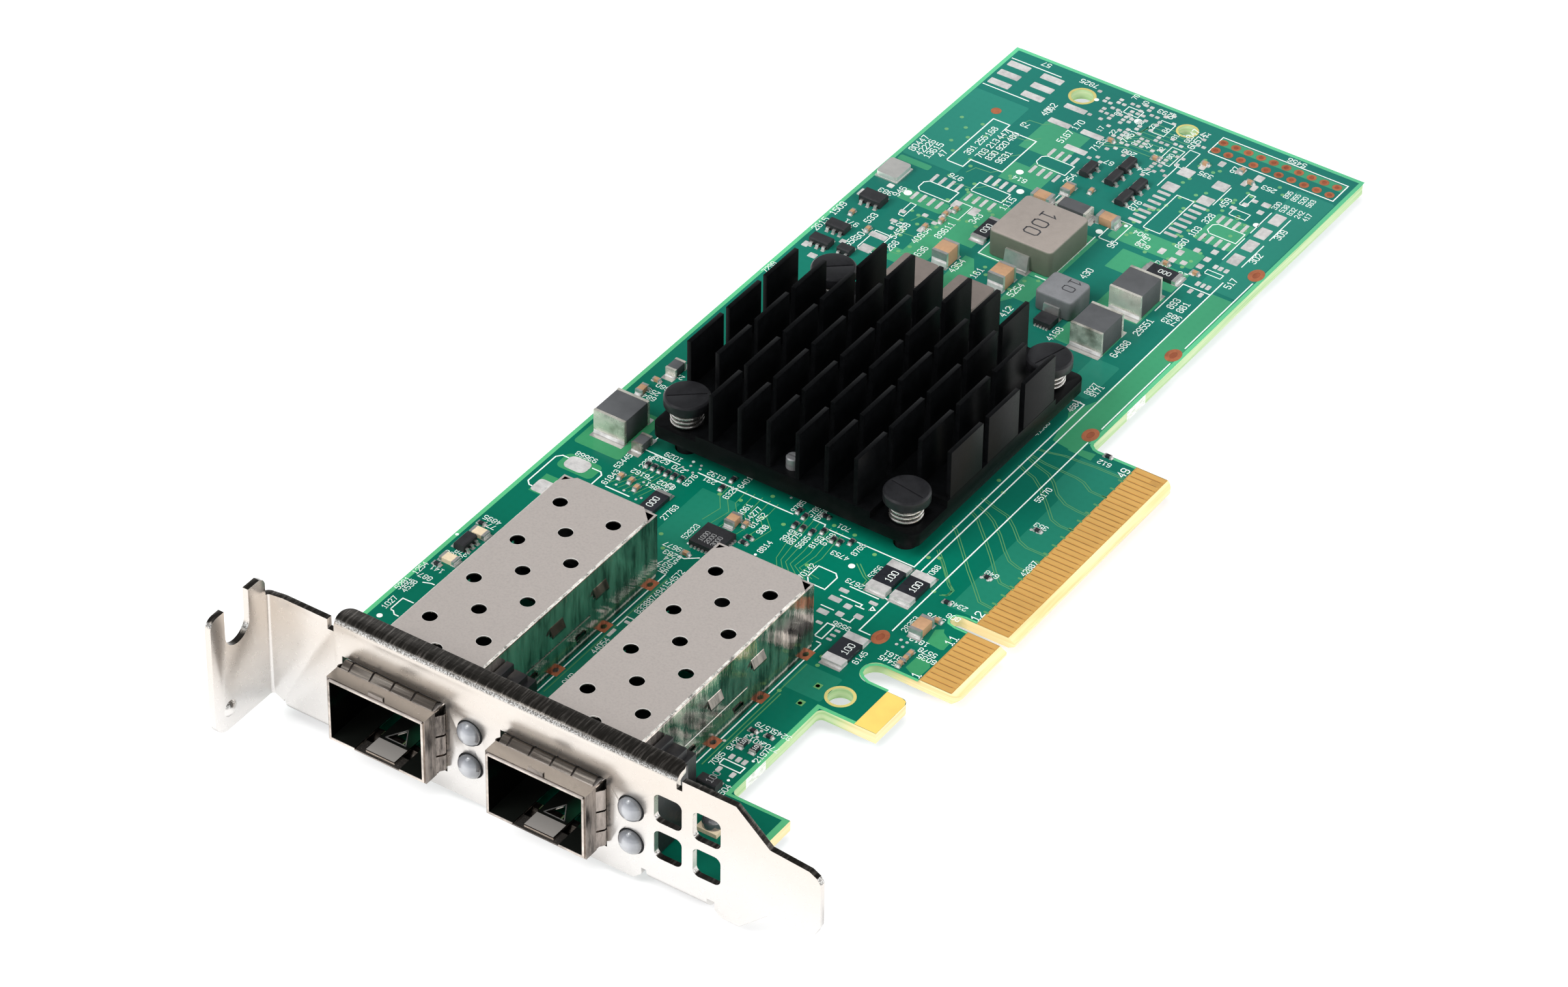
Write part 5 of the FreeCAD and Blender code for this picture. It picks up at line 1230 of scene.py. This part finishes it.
# painted shadow: a near-black ring in the gap between each light guide and its hole in the plate
gap = bmesh.new()
for xg in (30.2, 53.7):
    for zg in (3.15, 8.3):
        rows = []
        for a in range(36):
            t = 2 * math.pi * a / 36
            rows.append([gap.verts.new(W(xg + r * math.cos(t), yy, zg + r * math.sin(t))) for r, yy in
                         ((1.66, -58.93), (1.84, -58.93), (1.84, -58.88), (1.66, -58.88))])
        for a in range(36):
            b = (a + 1) % 36
            for i in range(4):
                j = (i + 1) % 4
                gap.faces.new([rows[a][i], rows[b][i], rows[b][j], rows[a][j]])
bmesh.ops.recalc_face_normals(gap, faces=gap.faces)
free_mesh("guide_painted_shadow_rings", gap, M["slit"])

# bright cut edges round the three-cornered window in each bay floor
fe = Sheet("bay_floor_edges", 1.285, 1.335, M["tin"], "cage")
for xc in (18.95, 42.45):
    fe.line([(xc - 1.5, -58.9), (xc + 1.5, -58.9)], 0.13)
    fe.line([(xc + 1.5, -58.9), (xc, -56.4)], 0.13)
    fe.line([(xc, -56.4), (xc - 1.5, -58.9)], 0.13)
fe.done()
core = bmesh.new()
glo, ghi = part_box("light_guides")
for xg in (30.2, 53.7):
    for zg in (3.15, 8.3):
        c = W(xg, -58.9 - 0.10, zg)
        for rr, yy in ((0.00042, 0.0), ):
            ring = []
            m = 4
            vs = []
            for a in ((-1, -1), (1, -1), (1, 1), (-1, 1)):
                vs.append(core.verts.new(c + Vector((a[0] * rr, -0.0001, a[1] * rr))))
            bk = []
            for a in ((-1, -1), (1, -1), (1, 1), (-1, 1)):
                bk.append(core.verts.new(c + Vector((a[0] * rr, 0.0004, a[1] * rr))))
            core.faces.new(vs)
            core.faces.new(bk[::-1])
            for i in range(4):
                j = (i + 1) % 4
                core.faces.new([vs[j], vs[i], bk[i], bk[j]])
em, ent, eb = new_mat("lamp_core")
fv = noise(ent, coords(ent), 2000.0)
ent.links.new(ramp(ent, fv, [(0.3, (0.92, 0.92, 0.92)), (0.7, (1, 1, 1))]), eb.inputs["Base Color"])
ent.links.new(maprange(ent, fv, 0.3, 0.4), eb.inputs["Roughness"])
free_mesh("guide_cores", core, em)

# ------------------------------------------------------------------ underside of the board
zb = -BT * 1000
us = Sheet("underside_pads", zb + 0.001, zb - 0.035, M["solder"], "tin")
for xc in (18.95, 42.45):
    for s in (-1, 1):
        for y in (-56.0, -46.0, -36.0, -25.9, -16.0):
            us.ring(xc + s * 6.95, y, 0.53, 1.0, n=20)
for i in range(10):
    for y in (105.2, 107.3):
        us.ring(35.9 + 2.02 * i, y, 0.36, 0.62, n=16)
for x, y in ((55.3, -8.0), (55.3, 41.3), (55.3, 62.0), (55.3, 83.5)):
    us.ring(x, y, 0.75, 1.45, 0.74, 1.0, 36, 0.62, 1.0)
bt = []
for ix in range(18):
    for iy in range(18):
        if 5 < ix < 12 and 5 < iy < 12 and (ix + iy) % 2:
            continue
        x, y = 19.6 + 1.28 * ix, 15.6 + 1.28 * iy
        bt.append((x, y))
for k in range(60):
    x, y = 20.5 + 2.6 * (k % 8), 17.5 + 2.7 * (k // 8)
    us.rect(x - 0.25, x + 0.25, y - 0.55, y - 0.15, 0.05)
    us.rect(x - 0.25, x + 0.25, y + 0.15, y + 0.55, 0.05)
for k in range(46):
    x, y = 8.0 + 4.4 * (k % 10), 52.0 + 8.6 * (k // 10) + 1.3 * (k % 3)
    us.rect(x - 0.45, x + 0.45, y - 0.9, y - 0.35, 0.1)
    us.rect(x - 0.45, x + 0.45, y + 0.35, y + 0.9, 0.1)
for k in range(8):
    us.rect(6.5, 8.6, 60.0 + 5.2 * k, 61.6 + 5.2 * k, 0.2)
us.done()
uv = Sheet("underside_vias", zb + 0.001, zb - 0.012, M["via"], "pcb")
for x, y in bt:
    uv.disc(x, y, 0.24, 10)
for _ in range(220):
    uv.disc(rnd.uniform(3, 53), rnd.uniform(-50, 100), 0.26, 8)
uv.done()
up_ = Sheet("underside_copper", zb + 0.001, zb - 0.008, M["pour"], "pcb")
up_.rect(47.0, 56.0, 44.0, 100.0, 0.5)
up_.rect(2.0, 14.0, 56.0, 100.0, 0.5)
up_.rect(18.0, 43.6, 14.0, 39.6, 0.5)
up_.rect(22.0, 44.0, 56.0, 84.0, 0.5)
up_.done()
ut = Sheet("underside_traces", zb + 0.001, zb - 0.011, M["trace"], "pcb")
for k in range(22):
    y = 2.0 + 1.6 * k
    ut.line([(63.9, y), (60.5, y), (52.0 - 0.2 * k, 8.0 + 1.35 * k), (44.0, 9.0 + 1.3 * k)], 0.14)
for k in range(8):
    ut.line([(12.5 + 1.2 * k, -17.0), (14.0 + 1.4 * k, -6.0), (20.0 + 1.5 * k, 3.0), (20.0 + 1.5 * k, 14.0)], 0.14)
    ut.line([(36.5 + 1.3 * k, -17.0), (35.0 + 1.2 * k, -6.0), (31.0 + 1.4 * k, 4.0), (31.0 + 1.4 * k, 14.0)], 0.14)
ut.done()
ul = Sheet("underside_legend", zb + 0.001, zb - 0.02, M["silk"], "pcb")
for x0, x1, y0, y1 in ((11.85, 26.05, -57, -14), (35.35, 49.55, -57, -14), (9.0, 52.4, 5.0, 48.0), (35.2, 55.2, 104.2, 108.4)):
    ul.line([(x0, y0), (x1, y0), (x1, y1), (x0, y1), (x0, y0)], 0.17)
ul.done()

# ------------------------------------------------------------------ stage, light, camera
floor_z = cad_lo.z - 0.00002
bm = bmesh.new()
s = 3.0
vs = [bm.verts.new((x, y, floor_z)) for x, y in ((-s, -s), (s, -s), (s, s), (-s, s))]
bm.faces.new(vs)
me = bpy.data.meshes.new("floor")
bm.to_mesh(me)
bm.free()
floor = bpy.data.objects.new("floor", me)
bpy.context.scene.collection.objects.link(floor)
fm, fnt, fb = new_mat("pale_floor")
ff = noise(fnt, coords(fnt), 12.0)
fnt.links.new(ramp(fnt, ff, [(0.3, (0.49, 0.49, 0.49)), (0.7, (0.51, 0.51, 0.51))]), fb.inputs["Base Color"])
fb.inputs["Roughness"].default_value = 0.9
fb.inputs["Emission Color"].default_value = (1, 1, 1, 1)
fb.inputs["Emission Strength"].default_value = 0.62
me.materials.append(fm)

sc = bpy.context.scene
world = bpy.data.worlds.new("studio")
sc.world = world
world.use_nodes = True
wn = world.node_tree
bg = wn.nodes["Background"]
wt = wn.nodes.new("ShaderNodeTexCoord")
ws = wn.nodes.new("ShaderNodeSeparateXYZ")
wn.links.new(wt.outputs["Generated"], ws.inputs[0])
# a pale backdrop all round up to about a third of the way to the zenith, dim above it
wcol = ramp(wn, ws.outputs["Z"], [(0.28, (0.84, 0.86, 0.88)), (0.43, (0.44, 0.45, 0.46)), (0.58, (0.18, 0.185, 0.19))])
wn.links.new(wcol, bg.inputs["Color"])
bg.inputs["Strength"].default_value = 0.85


def area(name, loc, target, size, power, size_y=None, color=(1, 1, 1), mirror=False):
    d = bpy.data.lights.new(name, "AREA")
    d.shape = "RECTANGLE"
    d.size = size
    d.size_y = size_y or size
    d.energy = power
    d.color = color
    o = bpy.data.objects.new(name, d)
    sc.collection.objects.link(o)
    o.location = loc
    v = Vector(target) - Vector(loc)
    o.rotation_euler = v.to_track_quat("-Z", "Y").to_euler()
    o.visible_glossy = mirror
    return o


area("front_left_soft", (-0.52, -0.78, 0.88), (0, 0, 0), 0.62, 11.0)
area("right_soft", (0.95, 0.05, 0.62), (0, 0, 0), 0.55, 6.0)
area("top_soft", (0.12, -0.30, 1.05), (0, 0, 0), 0.55, 6.0)
area("front_low", (0.25, -1.0, 0.26), (0, -0.05, 0.01), 0.7, 2.0, 0.35)
# white cards that the metal mirrors
area("front_card", (-0.49, -0.73, 0.82), (0, 0, 0), 0.50, 0.95, mirror=True)
area("sparkle", (-0.42, -0.62, 0.78), (0, 0, 0), 0.07, 0.14, mirror=True)
area("back_right_card", (0.70, 0.78, 0.47), (0, 0, 0), 0.55, 1.1, mirror=True)

R = ((0.8438863265, 0.5352942978, 0.0362750968), (0.3503574406, -0.4986050133, -0.7928699166), (-0.4063318001, 0.6818013314, -0.6083102932))
C = (359.3964, -485.4180, 478.4139)
cam_d = bpy.data.cameras.new("camera")
cam_d.sensor_width = 36.0
cam_d.sensor_fit = "HORIZONTAL"
cam_d.lens = 9168.9 * 36.0 / 2408.0
cam_d.shift_x = -(1580.26 - 1204.0) / 2408.0
cam_d.shift_y = -(757.5 - 547.73) / 2408.0
cam_d.clip_start = 0.05
cam_d.clip_end = 20
cam = bpy.data.objects.new("camera", cam_d)
sc.collection.objects.link(cam)
xx, yy, zz = Vector(R[0]), -Vector(R[1]), -Vector(R[2])
rot = Matrix((xx, yy, zz)).transposed().to_4x4()
cam.matrix_world = Matrix.Translation(W(*C)) @ rot
sc.camera = cam
sc.view_settings.view_transform = "Standard"
sc.view_settings.look = "None"
sc.view_settings.exposure = 0.0
